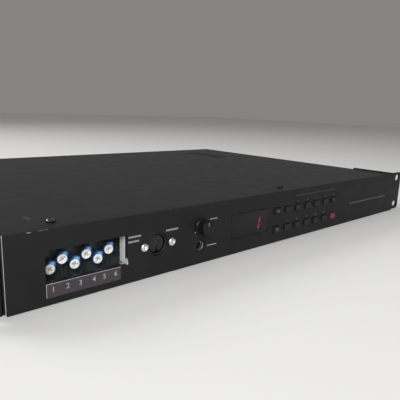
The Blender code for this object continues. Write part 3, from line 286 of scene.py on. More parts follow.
MOULDINGS = {  # colour, gloss, shine, grain, change of tone
    "black_moulding": ((0.0120, 0.0120, 0.0125), (0.40, 0.55), 0.25),
    "insert_moulding": ((0.0190, 0.0190, 0.0198), (0.45, 0.60), 0.25),
    "knob_moulding": ((0.0080, 0.0080, 0.0083), (0.38, 0.48), 0.20),
    "gloss_moulding": ((0.0110, 0.0110, 0.0115), (0.20, 0.32), 0.5, 1500.0),
    "red_moulding": ((0.125, 0.014, 0.020), (0.32, 0.45)),
    "white_nylon": ((0.88, 0.88, 0.86), (0.38, 0.50), 0.5, 1800.0, 0.06),
    "slot_floor": ((0.34, 0.35, 0.35), (0.50, 0.65)),
    "grey_moulding": ((0.22, 0.22, 0.22), (0.45, 0.60)),
    "unlit_segment": ((0.050, 0.022, 0.022), (0.35, 0.50)),
}
BOARDS = {  # lacquer, and the copper seen through it
    "board": ((0.012, 0.075, 0.032), (0.030, 0.130, 0.055)),
    "dark_board": ((0.022, 0.029, 0.028), (0.036, 0.045, 0.044)),
}
PRINTS = {  # full and thin ink
    "panel_print": ((0.27, 0.27, 0.26), (0.15, 0.15, 0.14)),
    "grey_print": ((0.15, 0.15, 0.145), (0.10, 0.10, 0.095)),
    "faint_print": ((0.085, 0.085, 0.083), (0.06, 0.06, 0.058)),
    # painted highlight on the label strip's left and top edges
    "label_edge": ((0.46, 0.44, 0.44), (0.30, 0.28, 0.28)),
    "label_print": ((0.46, 0.44, 0.45), (0.32, 0.30, 0.31)),
}
OXIDES = {"screw": (-0.10,), "worn_screw": (0.05,)}  # share worn away
KEPT_SOLIDS = {  # solids whose own shape shows, and their finishes
    "chassis": "zinc_sheet",
    "trimmer_board": "dark_board",
    "control_board": "board",
    "main_board": "board",
    "ribbon_cable": "flat_cable",
    "transformer": "laminations",
    "volume_pot": "grey_moulding",
    "volume_shaft": "dull_nickel",
    "display_module": "black_moulding",
    "display_lens": "smoked_lens",
}


# Modelling helpers


def make_active(piece):
    bpy.ops.object.select_all(action="DESELECT")
    piece.select_set(True)
    bpy.context.view_layer.objects.active = piece


def link_object(name, data):
    piece = bpy.data.objects.new(name, data)
    bpy.context.scene.collection.objects.link(piece)
    return piece


def settle(piece):
    """Puts a piece's place into its mesh and leaves its object at the origin."""
    make_active(piece)
    bpy.ops.object.transform_apply(location=True, rotation=True, scale=True)


def middle(node):
    low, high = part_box(node)
    return (low + high) / 2


def block(name, low, high):
    """A box between two corners, given in any order."""
    low, high = Vector(low), Vector(high)
    bpy.ops.mesh.primitive_cube_add(size=1.0, location=(low + high) / 2)
    piece = bpy.context.active_object
    piece.name = name
    piece.scale = [abs(size) for size in high - low]
    settle(piece)
    return piece


def drum(name, axis, start, length, radius, sides=ROUND):
    """A cylinder from the middle of one end along an axis."""
    direction = Vector(axis)
    bpy.ops.mesh.primitive_cylinder_add(
        vertices=sides,
        radius=radius,
        depth=length,
        location=Vector(start) + direction * length / 2,
        rotation=direction.to_track_quat("Z", "Y").to_euler(),
    )
    piece = bpy.context.active_object
    piece.name = name
    settle(piece)
    return piece


def start_edit(piece, kind, action="DESELECT"):
    make_active(piece)
    bpy.ops.object.mode_set(mode="EDIT")
    bpy.ops.mesh.select_mode(type=kind)
    bpy.ops.mesh.select_all(action=action)


def end_edit():
    bpy.ops.object.mode_set(mode="OBJECT")


def select(piece, kind, test):
    """Opens edit mode with the edges or faces selected that pass a test."""
    start_edit(piece, kind)
    mesh = bmesh.from_edit_mesh(piece.data)
    for item in mesh.edges if kind == "EDGE" else mesh.faces:
        item.select_set(test(item))
    bmesh.update_edit_mesh(piece.data)


def extrude(way):
    bpy.ops.mesh.extrude_region_move(TRANSFORM_OT_translate={"value": way})


def merge_points():
    bpy.ops.mesh.select_all(action="SELECT")
    bpy.ops.mesh.remove_doubles(threshold=MERGE)


def bevel_edges(piece, test, width, segments):
    select(piece, "EDGE", test)
    bpy.ops.mesh.bevel(offset=width, segments=segments, profile=0.5, affect="EDGES")
    end_edit()


def edges_along(axis, **places):
    """A test for edges along one axis, at given places on the others."""
    across = [name for name in "xyz" if name != axis]

    def test(edge):
        first, second = edge.verts[0].co, edge.verts[1].co
        straight = all(abs(getattr(first, name) - getattr(second, name)) < SAME for name in across)
        return straight and all(abs(getattr(first, name) - place) < SAME for name, place in places.items())

    return test


def rounded_bar(name, low, high, axis, radius, segments=8):
    """A block whose four edges along one axis are rounded."""
    piece = block(name, low, high)
    bevel_edges(piece, edges_along(axis), radius, segments)
    return piece


def slot_tool(centre, reach, axis, width, segments=8):
    """A tool for a slot with round ends, from its middle and half its size."""
    return rounded_bar("tool", centre - reach, centre + reach, axis, width * SLOT_END, segments)


def turn(name, axis, centre, profile, steps=ROUND):
    """A turned piece from points of radius and place along an axis, measured from the centre."""
    direction = Vector(axis)
    aside = direction.orthogonal().normalized()
    points = [Vector(centre) + direction * place + aside * radius for radius, place in profile]
    data = bpy.data.meshes.new(name)
    data.from_pydata(points, [(index, index + 1) for index in range(len(points) - 1)], [])
    piece = link_object(name, data)
    start_edit(piece, "VERT", "SELECT")
    bpy.ops.mesh.spin(steps=steps, angle=2 * math.pi, center=centre, axis=direction)
    merge_points()
    bpy.ops.mesh.normals_make_consistent(inside=False)
    end_edit()
    return piece


def ring_profile(radii, places):
    """A closed rectangle of radius and place along an axis."""
    (inner, outer), (start, end) = radii, places
    return [(inner, start), (outer, start), (outer, end), (inner, end), (inner, start)]


def copy_node(node, name):
    """A copy of a solid's mesh, merged and with its flat faces whole."""
    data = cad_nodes[node].data.copy()
    data.materials.clear()
    piece = link_object(name, data)
    start_edit(piece, "VERT")
    bpy.ops.mesh.customdata_custom_splitnormals_clear()
    merge_points()
    bpy.ops.mesh.dissolve_limited(angle_limit=FLAT_ANGLE)
    end_edit()
    return piece


def placed_copy(source, name, matrix):
    """A copy with its own mesh, moved within that mesh."""
    data = source.data.copy()
    data.transform(matrix)
    return link_object(name, data)


def join(pieces, name):
    make_active(pieces[0])
    for piece in pieces:
        piece.select_set(True)
    if len(pieces) > 1:
        bpy.ops.object.join()
    pieces[0].name = name
    return pieces[0]


def apply_modifier(piece, modifier):
    make_active(piece)
    bpy.ops.object.modifier_apply(modifier=modifier.name)


def combine(piece, tools, operation="DIFFERENCE"):
    """Cuts tools out of a piece, or joins them to it."""
    tool = join(tools, "tool")
    modifier = piece.modifiers.new("Combine", "BOOLEAN")
    modifier.operation = operation
    modifier.solver = "EXACT"
    modifier.object = tool
    apply_modifier(piece, modifier)
    bpy.data.objects.remove(tool)


def smooth(piece):
    """Smooth shading that keeps flat faces flat."""
    make_active(piece)
    bpy.ops.object.shade_smooth_by_angle(angle=SHARP_ANGLE)
    apply_modifier(piece, piece.modifiers.new("Normals", "WEIGHTED_NORMAL"))


def ease(piece, width=EDGE, segments=2):
    """Rounds all sharp edges a little, as real ones are."""
    modifier = piece.modifiers.new("Ease", "BEVEL")
    modifier.limit_method = "ANGLE"
    modifier.angle_limit = SHARP_ANGLE
    modifier.width = width
    modifier.segments = segments
    modifier.use_clamp_overlap = False
    apply_modifier(piece, modifier)
    smooth(piece)


def paint_faces(piece, index, test):
    """Gives the faces that pass a test another of the piece's finishes."""
    for face in piece.data.polygons:
        if test(face.center, face.normal):
            face.material_index = index


def dress(piece, slot, *finishes, body="case", nodes=()):
    """Gives a finished piece its finishes and its body, and hides the nodes that it stands for; the slot is
    not used.
    """
    for finish in finishes:
        piece.data.materials.append(looks[finish])
    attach(piece, body)
    if nodes:
        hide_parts(*nodes)
    return piece


def dress_copy(node, name, edge, slot, *finishes, body="case"):
    """A copy of a solid with eased edges, in that solid's stead."""
    piece = copy_node(node, name)
    ease(piece, edge)
    return dress(piece, slot, *finishes, body=body, nodes=[node])


def turned_metal(name, axis, centre, profile, finish):
    piece = turn(name, axis, centre, profile)
    smooth(piece)
    dress(piece, "steel", finish)


# Finishes


class Finish:
    """A material in the making: a Principled shader fed from object coordinates."""

    def __init__(self, name, colour, roughness, metallic=0.0, shine=0.5):
        self.material = bpy.data.materials.new(name)
        self.material.use_nodes = True
        self.tree = self.material.node_tree
        self.shader = self.tree.nodes["Principled BSDF"]
        self.place = self.add("ShaderNodeTexCoord").outputs["Object"]
        self.set("Base Color", (*colour, 1.0))
        self.set("Roughness", roughness)
        self.set("Metallic", metallic)
        self.set("Specular IOR Level", shine)

    def add(self, kind, inputs=None, **settings):
        """Adds a node with its settings and its inputs, by their names or numbers."""
        node = self.tree.nodes.new(kind)
        for key, value in settings.items():
            setattr(node, key, value)
        for socket, value in (inputs or {}).items():
            self.feed(node.inputs[socket], value)
        return node

    def feed(self, socket, value):
        """Sets a socket to a value, or links an output to it."""
        if isinstance(value, bpy.types.NodeSocket):
            self.tree.links.new(value, socket)
        else:
            socket.default_value = value

    def set(self, socket, value):
        self.feed(self.shader.inputs[socket], value)

    def tone(self):
        """The output that feeds the base colour so far."""
        return self.shader.inputs["Base Color"].links[0].from_socket

    def mapped(self, stretch, shift=(0, 0, 0)):
        """Object coordinates, stretched and then shifted."""
        inputs = {"Vector": self.place, "Location": shift, "Scale": stretch}
        return self.add("ShaderNodeMapping", inputs).outputs["Vector"]

    def noise(self, scale, detail=3.0, stretch=None):
        place = self.mapped(stretch) if stretch else self.place
        inputs = {"Vector": place, "Scale": scale, "Detail": detail, "Roughness": NOISE_ROUGHNESS}
        return self.add("ShaderNodeTexNoise", inputs).outputs["Fac"]

    def bands(self, direction, scale, distortion=0.0, detail=2.0):
        """Stripes that follow each other in one direction."""
        inputs = {"Vector": self.place, "Scale": scale, "Distortion": distortion, "Detail": detail}
        node = self.add("ShaderNodeTexWave", inputs, wave_type="BANDS", bands_direction=direction)
        return node.outputs["Fac"]

    def spread(self, value, source, target=(0.0, 1.0)):
        """Maps one range to another, held at its ends."""
        inputs = dict(enumerate((value, *source, *target)))
        return self.add("ShaderNodeMapRange", inputs).outputs["Result"]

    def math(self, operation, first, second=0.0):
        return self.add("ShaderNodeMath", {0: first, 1: second}, operation=operation).outputs[0]

    def mix(self, share, first, second):
        """Mixes two colours."""
        node = self.add("ShaderNodeMix", {"Factor": share}, data_type="RGBA")
        colours = [socket for socket in node.inputs if socket.type == "RGBA"]
        for socket, colour in zip(colours, (first, second)):
            self.feed(socket, (*colour, 1.0) if isinstance(colour, tuple) else colour)
        return next(socket for socket in node.outputs if socket.type == "RGBA")

    def blend(self, share, first, second):
        """Makes the base colour a mix of two."""
        self.set("Base Color", self.mix(share, first, second))

    def split(self, axis):
        """One of the three object coordinates."""
        return self.add("ShaderNodeSeparateXYZ", {0: self.place}).outputs[axis]

    def spot(self, centre, reach):
        """1 at a point, falling to 0 at a distance given for each axis."""
        shift = [-place / size for place, size in zip(centre, reach)]
        vector = self.mapped([1 / size for size in reach], shift)
        node = self.add("ShaderNodeVectorMath", {0: vector}, operation="LENGTH")
        return self.spread(node.outputs["Value"], (0.0, 1.0), (1.0, 0.0))

    def uneven_gloss(self, scale, limits, detail=3.0):
        """Roughness that wanders between two limits."""
        self.set("Roughness", self.spread(self.noise(scale, detail), MID_NOISE, limits))

    def bump(self, height, strength, depth):
        node = self.add("ShaderNodeBump", {"Strength": strength, "Distance": depth, "Height": height})
        self.set("Normal", node.outputs["Normal"])


def satin_black(name, dark, pale, gloss, shine, grain=1400.0):
    """Satin black paint: cloudy tone, uneven gloss and a fine orange-peel grain."""
    finish = Finish(name, dark, gloss[0], shine=shine)
    finish.blend(finish.spread(finish.noise(60.0, 5.0), (0.35, 0.70)), dark, pale)
    finish.uneven_gloss(75.0, gloss, 4.0)
    finish.bump(finish.noise(grain, 2.0), 0.12, 0.00012)
    return finish


def chip(finish, spots, bare):
    """Wears paint through to bare metal at some spots, with a ragged edge."""
    ragged = finish.noise(900.0, 4.0)
    mask = 0.0
    for centre, reach in spots:
        near = finish.math("MULTIPLY", finish.spot(centre, reach), 1.6)
        worn = finish.spread(finish.math("ADD", near, ragged), (1.12, 1.22))
        mask = finish.math("MAXIMUM", mask, worn)
    finish.blend(mask, finish.tone(), bare)


def panel_paint():
    """The panel's black, chipped along its upper edge, with a painted highlight at the foot of the window's
    right jamb.
    """
    finish = satin_black("panel_paint", *PAINTS["panel_paint"])
    edge = [((x, FRONT + depth, panel_high.z), reach) for x, depth, reach in PANEL_CHIPS]
    chip(finish, edge, (0.24, 0.235, 0.23))
    # Painted highlight at the jamb's foot, drawn as a chip through to pale metal
    x, depth, z = JAMB_HIGHLIGHT
    chip(finish, [((x, FRONT + depth, z), JAMB_REACH)], (0.52, 0.51, 0.50))
    return finish


def cover_paint():
    """The cover's smoother black, with hairline scratches and one rubbed streak."""
    finish = satin_black("cover_paint", *PAINTS["cover_paint"])
    hairs = finish.spread(finish.noise(60.0, 2.0, (1.0, 26.0, 1.0)), (0.70, 0.78), (0.0, 0.35))
    streak = finish.spot((*STREAK, panel_high.z), STREAK_REACH)
    broken = finish.spread(finish.noise(500.0, 4.0), (0.35, 0.60), (0.0, 0.6))
    share = finish.math("MAXIMUM", hairs, finish.math("MULTIPLY", streak, broken))
    finish.blend(share, finish.tone(), (0.130, 0.126, 0.120))
    return finish


def bare_metal(name, colour, gloss, stretch=None):
    """Metal with a fine grain, or with drawn lines where the grain is stretched."""
    finish = Finish(name, colour, gloss[0], 1.0)
    grain = finish.noise(900.0, 3.0, stretch)
    finish.blend(grain, colour, tuple(min(1.0, channel * 1.18) for channel in colour))
    finish.set("Roughness", finish.spread(grain, MID_NOISE, gloss))
    finish.bump(grain, 0.10, 0.00005)
    return finish


def bare_end():
    """The plate's sawn end: a bright worn line between painted corners."""
    finish = Finish("bare_end", (0.62, 0.62, 0.61), 0.45, shine=0.3)
    ragged = finish.math("MULTIPLY", finish.noise(900.0, 4.0), 0.0004)
    depth = finish.math("ADD", finish.split("Y"), ragged)
    begin, stop = [[FRONT + place for place in places] for places in END_LINE]
    line = finish.math("MULTIPLY", finish.spread(depth, begin), finish.spread(depth, stop, (1.0, 0.0)))
    finish.blend(line, PAINT_BLACK, (0.66, 0.65, 0.63))
    return finish


def painted_sill(finish):
    """1 where the sheet turns black along the window's sill, up to its bent cheek."""
    near = finish.spot((sum(WINDOW_X) / 2, WALL_BACK, WINDOW_Z[0]), SILL_REACH)
    stop = [WINDOW_X[1] - place for place in SILL_STOP]
    before_cheek = finish.spread(finish.split("X"), stop, (1.0, 0.0))
    return finish.math("MULTIPLY", finish.spread(near, (0.10, 0.30)), before_cheek)


def painted_ends(finish):
    """1 where the sheet turns black at its two ends."""
    aside = finish.math("ABSOLUTE", finish.split("X"))
    return finish.spread(aside, [panel_high.x - place for place in END_BLACK])


def zinc_sheet():
    """Zinc plate with faint spangles, whiter at the window's cheek as a painted highlight, black along its
    sill and at its ends.
    """
    finish = Finish("zinc_sheet", (0.62, 0.63, 0.64), 0.4, 0.85)
    cells = finish.add("ShaderNodeTexVoronoi", {"Vector": finish.place, "Scale": 260.0})
    shade = finish.add("ShaderNodeSeparateColor", {"Color": cells.outputs["Color"]})
    plate = finish.mix(shade.outputs["Red"], (0.66, 0.67, 0.68), (0.80, 0.81, 0.81))
    # 1 where the sheet turns black: along the window's sill and at its ends
    painted = finish.math("MAXIMUM", painted_sill(finish), painted_ends(finish))
    finish.blend(painted, plate, PAINT_BLACK)
    finish.uneven_gloss(140.0, (0.34, 0.50))
    # Painted highlight: the cheek loses most of its metal shine, so it shows whiter
    cheek = finish.spot((WINDOW_X[1], FRONT + CHEEK_HIGHLIGHT_DEPTH, PANEL_MIDDLE), CHEEK_HIGHLIGHT_REACH)
    metal = finish.spread(cheek, (0.0, 0.2), (0.85, 0.15))
    finish.set("Metallic", finish.math("MULTIPLY", metal, finish.math("SUBTRACT", 1.0, painted)))
    finish.bump(finish.noise(700.0), 0.06, 0.00005)
    return finish


def oxide_screw(name, worn):
    """Black screw whose coating is worn to bright metal by some share."""
    finish = Finish(name, OXIDE_BLACK, 0.38, shine=0.2)
    rub = finish.noise(620.0, 5.0)
    mask = finish.spread(rub, (0.62 - worn, 0.68 - worn))
    finish.blend(mask, OXIDE_BLACK, (0.66, 0.65, 0.62))
    finish.set("Metallic", mask)
    finish.set("Roughness", finish.spread(rub, MID_NOISE, (0.45, 0.28)))
    finish.bump(rub, 0.15, 0.00008)
    return finish


def moulding(name, colour, gloss, shine=0.5, grain=2200.0, vary=0.25):
    """Moulded plastic: spark-eroded grain, slightly uneven tone and gloss."""
    finish = Finish(name, colour, gloss[0], shine=shine)
    pale = tuple(min(1.0, channel * (1 + vary)) for channel in colour)
    finish.blend(finish.noise(180.0), colour, pale)
    finish.uneven_gloss(420.0, gloss)
    finish.bump(finish.noise(grain, 2.0), 0.10, 0.00008)
    return finish


def trimmer_blue():
    """Blue plastic with a pale painted highlight just above each rotor."""
    finish = moulding("blue_moulding", (0.012, 0.110, 0.400), (0.22, 0.34), grain=1500.0)
    mask = 0.0
    for number in TRIMMERS:
        centre = middle(f"trimmer_rotor_{number}") + TRIMMER_HIGHLIGHT
        centre.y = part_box(f"trimmer_body_{number}")[0].y
        mask = finish.math("MAXIMUM", mask, finish.spot(centre, TRIMMER_HIGHLIGHT_REACH))
    # Painted highlight: pale blue just above each rotor
    finish.blend(finish.spread(mask, (0.0, 0.7)), finish.tone(), (0.22, 0.50, 0.82))
    return finish


def smoked_lens():
    finish = Finish("smoked_lens", (0.08, 0.026, 0.027), 0.06, shine=0.12)
    finish.set("Transmission Weight", 1.0)
    finish.set("IOR", 1.36)
    finish.set("Roughness", finish.spread(finish.noise(300.0), (0.4, 0.8), (0.02, 0.06)))
    return finish


def lit_red():
    """A lit segment whose glow is a little uneven."""
    finish = Finish("lit_red", (0.60, 0.01, 0.02), 0.3)
    glow = finish.spread(finish.noise(350.0, 2.0), MID_NOISE, (0.85, 1.0))
    finish.set("Emission Color", finish.mix(glow, (1.0, 0.10, 0.50), (1.0, 0.14, 0.62)))
    finish.set("Emission Strength", 3.6)
    return finish


def circuit_board(name, lacquer, copper):
    """Lacquered board with copper runs under the lacquer."""
    finish = Finish(name, lacquer, 0.35)
    runs = finish.spread(finish.bands("DIAGONAL", 90.0, 14.0, 0.0), (0.55, 0.62))
    finish.blend(runs, lacquer, copper)
    finish.uneven_gloss(200.0, (0.28, 0.42))
    finish.bump(runs, 0.25, 0.00004)
    return finish


def laminations():
    """A stack of iron sheets, with varnish over them."""
    finish = Finish("laminations", (0.10, 0.09, 0.08), 0.45, 0.7)
    sheets = finish.bands("Y", 330.0, 0.4)
    finish.blend(sheets, (0.05, 0.045, 0.04), (0.17, 0.155, 0.14))
    finish.uneven_gloss(160.0, (0.35, 0.6))
    finish.bump(sheets, 0.4, 0.0001)
    return finish


def flat_cable():
    """Grey flat cable, one ridge for each wire."""
    finish = Finish("flat_cable", (0.24, 0.24, 0.24), 0.45)
    wires = finish.bands("X", 250.0)
    finish.blend(wires, (0.14, 0.14, 0.14), (0.32, 0.32, 0.32))
    finish.uneven_gloss(240.0, (0.38, 0.52))
    finish.bump(wires, 0.6, 0.0003)
    return finish


def printed(name, ink, thin):
    """Screen print, a little thin in places."""
    finish = Finish(name, ink, 0.5)
    finish.blend(finish.spread(finish.noise(1300.0), (0.45, 0.75)), ink, thin)
    finish.uneven_gloss(500.0, (0.42, 0.58))
    return finish


def label_film():
    """Dark plum film with a soft gloss."""
    finish = Finish("label_film", (0.040, 0.030, 0.036), 0.3)
    cloud = finish.spread(finish.noise(120.0, 4.0), MID_NOISE)
    finish.blend(cloud, (0.040, 0.031, 0.037), (0.048, 0.037, 0.044))
    finish.uneven_gloss(400.0, (0.30, 0.35))
    finish.bump(finish.noise(1500.0), 0.04, 0.00005)
    return finish


def make_looks():
    """Every finish of the object, by its name."""
    makers = [panel_paint, cover_paint, bare_end, zinc_sheet, trimmer_blue, smoked_lens, lit_red]
    makers += [laminations, flat_cable, label_film]
    finishes = [make() for make in makers]
    finishes.append(satin_black("case_paint", *PAINTS["case_paint"]))
    tables = {bare_metal: METALS, moulding: MOULDINGS, circuit_board: BOARDS}
    tables |= {printed: PRINTS, oxide_screw: OXIDES}
    for make, table in tables.items():
        finishes += [make(name, *settings) for name, settings in table.items()]
    return {finish.material.name: finish.material for finish in finishes}


# Case


def panel_hole(node, size):
    """Two corners of a tool for a hole round a node's middle."""
    half = Vector((size[0] / 2, 0, size[1] / 2))
    low, high = middle(node) - half, middle(node) + half
    low.y, high.y = FRONT - CUT_PAST, panel_high.y + CUT_PAST
    return low, high


def panel_cutters():
    """Tools for the window, the display, the round holes and the buttons."""
    front, back = FRONT - CUT_PAST, panel_high.y + CUT_PAST
    cutters = [block("tool", (WINDOW_X[0], front, WINDOW_Z[0]), (WINDOW_X[1], back, WINDOW_Z[1]))]
    cutters.append(block("tool", *panel_hole("display_lens", DISPLAY_HOLE)))
    for node, radius in ROUND_HOLES.items():
        place = middle(node)
        cutters.append(drum("tool", REARWARD, (place.x, front, place.z), back - front, radius))
    for node in BUTTONS:
        cutters.append(rounded_bar("tool", *panel_hole(node, BUTTON_HOLE), "y", BUTTON_HOLE_CORNER, 4))
    return cutters


def make_front_panel():
    panel = block("panel_plate", panel_low, panel_high)
    combine(panel, panel_cutters())
    ease(panel)
    dress(panel, "black_paint", "panel_paint", "bare_end", nodes=["front_panel"])
    end = panel_high.x - 2 * EDGE
    paint_faces(panel, 1, lambda centre, normal: abs(centre.x) > end and abs(normal.x) > FACING)


def make_cover():
    low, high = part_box("top_cover")
    cover = block("cover_sheet", low, high)
    deep = high.z - low.z
    cutters = []
    for node in ("cover_screw_left", "cover_screw_middle"):
        place = middle(node)
        cutters.append(drum("tool", UPWARD, (place.x, place.y, low.z - deep), 3 * deep, SCREW_HOLE))
    reach = Vector((VENT_LENGTH / 2, VENT_WIDTH / 2, 2 * deep))
    for index in range(VENT_COUNT):
        y = VENT_MIDDLE[1] + VENT_PITCH * (index - (VENT_COUNT - 1) / 2)
        cutters.append(slot_tool(Vector((VENT_MIDDLE[0], y, low.z)), reach, "z", VENT_WIDTH))
    combine(cover, cutters)
    ease(cover, COVER_EDGE, 3)
    dress(cover, "black_cover", "cover_paint", nodes=["top_cover"])


def bracket(name, low, high, side):
    """An angle bracket: a leg beside the case and a flange bent outwards from its front edge."""
    inner, outer = (low.x, high.x) if side > 0 else (high.x, low.x)
    skin = inner + side * EAR_THICKNESS
    behind = low.y + EAR_THICKNESS
    ear = block(name, (inner, low.y, low.z), (skin, high.y, high.z))
    start_edit(ear, "FACE", "SELECT")
    bpy.ops.mesh.bisect(plane_co=(0, behind, 0), plane_no=REARWARD)
    end_edit()
    select(ear, "FACE", lambda face: face.normal.x * side > FACING and face.calc_center_median().y < behind)
    extrude((outer - skin, 0, 0))
    end_edit()
    bevel_edges(ear, edges_along("z", x=inner, y=low.y), EAR_BEND + EAR_THICKNESS, 10)
    bevel_edges(ear, edges_along("z", x=skin, y=behind), EAR_BEND, 8)
    bevel_edges(ear, edges_along("y", x=outer), EAR_CORNER, 10)
    return ear


def make_ear(word, side):
    node = f"rack_ear_{word}"
    low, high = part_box(node)
    ear = bracket(f"ear_{word}", low, high, side)
    outer = high.x if side > 0 else low.x
    reach = Vector((SLOT_WIDTH / 2, 3 * EAR_THICKNESS, SLOT_HEIGHT / 2))
    cutters = []
    for step in (-0.5, 0.5):
        centre = Vector((outer - side * SLOT_INSET, low.y, PANEL_MIDDLE + step * SLOT_SPACING))
        cutters.append(slot_tool(centre, reach, "y", SLOT_HEIGHT, 12))
    length = high.x - low.x + EAR_THICKNESS
    for end in ("front", "rear"):
        place = middle(f"ear_screw_{word}_{end}")
        start = (outer, place.y, place.z)
        cutters.append(drum("tool", (-side, 0, 0), start, length, EAR_SCREW_HOLE, SMALL_ROUND))
    combine(ear, cutters)
    ease(ear, SOFT_EDGE)
    dress(ear, "black_paint", "case_paint", nodes=[node])


def make_case_sheets():
    for node, name in CASE_SHEETS.items():
        dress_copy(node, name, EDGE, "black_paint", "case_paint")


# Screws


def recess_tool(head, height):
    """A tool for a cross recess whose arms narrow downwards."""
    wide, reach, depth = head * RECESS_WIDTH, head * RECESS_LENGTH, height * (1 - RECESS_DEPTH)
    arms = []
    for x, y in ((reach, wide), (wide, reach)):
        arm = block("tool", (-x, -y, depth), (x, y, 2 * height))
        select(arm, "FACE", lambda face: face.normal.z < -FACING)
        bpy.ops.transform.resize(value=(RECESS_TAPER, RECESS_TAPER, 1.0), center_override=(0, 0, depth))
        end_edit()
        arms.append(arm)
    combine(arms[0], arms[1:], "UNION")
    return arms[0]


def screw_pattern(name, head, height, shank, length):
    """A screw along +Z with a cross recess, its head's underside at the origin."""
    profile = [(head * across, height * up) for across, up in HEAD_PROFILE]
    profile += [(shank, 0.0), (shank, -length), (0.0, -length)]
    screw = turn(name, UPWARD, (0, 0, 0), profile, SMALL_ROUND)
    combine(screw, [recess_tool(head, height)])
    smooth(screw)
    return screw


def place_screw(pattern, node, out, twist, slot, finish):
    """Puts a copy of the pattern, twisted by some degrees, where a screw's solid is."""
    low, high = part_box(node)
    direction = Vector(out)
    head = max(vert.co.z for vert in pattern.data.vertices)
    reach = abs((high - low).dot(direction)) / 2
    place = (low + high) / 2 + direction * (reach - head)
    turn_to = direction.to_track_quat("Z", "Y").to_matrix().to_4x4()
    matrix = Matrix.Translation(place) @ turn_to @ Matrix.Rotation(math.radians(twist), 4, "Z")
    screw = placed_copy(pattern, node.replace("screw", "bolt"), matrix)
    dress(screw, slot, finish, nodes=[node])


def make_screws():
    pan = screw_pattern("pan_pattern", *PAN_SCREW)
    place_screw(pan, "cover_screw_left", UPWARD, 25, "black_steel", "worn_screw")
    place_screw(pan, "cover_screw_middle", UPWARD, 60, "black_steel", "screw")
    for word, twist in (("left", 12), ("right", 50)):
        place_screw(pan, f"input_screw_{word}", (0, -1, 0), twist, "steel", "nickel")
    low_head = screw_pattern("low_pattern", *LOW_SCREW)
    for word, side in (("left", -1), ("right", 1)):
        for end, twist in (("front", 15), ("rear", 70)):
            place_screw(low_head, f"ear_screw_{word}_{end}", (side, 0, 0), twist, "black_steel", "screw")
    bpy.data.objects.remove(pan)
    bpy.data.objects.remove(low_head)


# Trimmers


def make_trimmer(number):
    node = f"trimmer_body_{number}"
    low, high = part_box(node)
    plate_back = low.y + TRIMMER_PLATE
    body = block(f"trimmer_case_{number}", low, (high.x, plate_back, high.z))
    bevel_edges(body, edges_along("y", x=low.x, z=high.z), TRIMMER_CUT, 1)
    bevel_edges(body, edges_along("y", x=high.x, z=high.z), TRIMMER_CORNER, 5)
    select(body, "FACE", lambda face: face.normal.y > FACING)
    bpy.ops.mesh.inset(thickness=TRIMMER_FOOT_INSET)
    extrude((0, high.y - plate_back, 0))
    end_edit()
    axis = middle(f"trimmer_rotor_{number}")
    start = (axis.x, low.y - TRIMMER_BORE_DEPTH, axis.z)
    combine(body, [drum("tool", REARWARD, start, 2 * TRIMMER_BORE_DEPTH, TRIMMER_BORE, SMALL_ROUND)])
    ease(body, SOFT_EDGE)
    dress(body, "blue_plastic", "blue_moulding", nodes=[node])
    make_rotor(number)


def rotor_slot(front):
    """A tool for the rotor's cross slot, one of its arms shorter, on the axis through the origin."""
    half = ROTOR_SLOT_WIDTH / 2
    arms = []
    for reach in ROTOR_SLOT_REACH:
        low, high = (-reach, front - CUT_PAST, -half), (reach, front + ROTOR_SLOT_DEPTH, half)
        arms.append(block("tool", low, high))
    arms[1].data.transform(Matrix.Rotation(math.pi / 2, 4, "Y"))
    combine(arms[0], arms[1:], "UNION")
    return arms[0]


def make_rotor(number):
    node = f"trimmer_rotor_{number}"
    low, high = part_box(node)
    centre = (low + high) / 2
    radius = (high.x - low.x) / 2
    back = low.y + ROTOR_THICKNESS
    origin = (centre.x, 0, centre.z)
    profile = [(0.0, low.y), *((radius - inset, low.y + depth) for inset, depth in ROTOR_RIM)]
    profile += [(radius, back), (ROTOR_STUB, back), (ROTOR_STUB, high.y), (0.0, high.y)]
    rotor = turn(f"trimmer_wheel_{number}", REARWARD, origin, profile, ROTOR_SIDES)
    slot = rotor_slot(low.y)
    turned = Matrix.Rotation(math.radians(ROTOR_TURNS[number - 1]), 4, "Y")
    slot.data.transform(Matrix.Translation(origin) @ turned)
    combine(rotor, [slot])
    smooth(rotor)
    dress(rotor, "white_plastic", "white_nylon", "slot_floor", body=f"trimmer_{number}", nodes=[node])

    def in_slot(place, normal):
        reach = math.hypot(place.x - centre.x, place.z - centre.z)
        deep = low.y + ROTOR_SLOT_DEPTH - SAME < place.y < back - SAME
        return deep and reach < radius * ROTOR_SLOT_INSIDE and normal.y < -FACING

    paint_faces(rotor, 1, in_slot)


# Sockets and jacks


def pin_places(origin, count, spread):
    """Places of pins on an arc above the socket's middle."""
    angles = [math.pi / 2 + spread * (index / (count - 1) - 0.5) for index in range(count)]
    return [origin + PIN_CIRCLE * Vector((math.cos(angle), 0, math.sin(angle))) for angle in angles]


def make_round_socket(node, mouth, inward, seat, pins, spread, metal):
    """A round socket: ring, flange, keyed insert with pin holes, a metal shield and contact tubes."""
    centre = middle(node)
    axis = Vector((0, inward, 0))
    origin = Vector((centre.x, mouth, centre.z))
    places = pin_places(origin, pins, spread)
    socket = turn(f"{node}_shell", axis, origin, SOCKET_PROFILE)
    near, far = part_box(node)
    near.y, far.y = seat, seat + inward * SOCKET_FLANGE
    combine(socket, [rounded_bar("tool", near, far, "y", SOCKET_FLANGE_CORNER, 5)], "UNION")
    holes = [drum("tool", axis, place + axis * PIN_HOLE_START, *PIN_HOLE) for place in places]
    notch = [origin + Vector((across, inward * depth, up)) for across, depth, up in NOTCH]
    combine(socket, [*holes, block("tool", *notch)])
    smooth(socket)
    dress(socket, "black_plastic", "insert_moulding", nodes=[node])
    turned_metal(f"{node}_shield", axis, origin, ring_profile(*SHIELD), metal)
    tubes = [turn("tube", axis, place, ring_profile(*CONTACT), CONTACT_SIDES) for place in places]
    contacts = join(tubes, f"{node}_contacts")
    smooth(contacts)
    dress(contacts, "steel", metal)


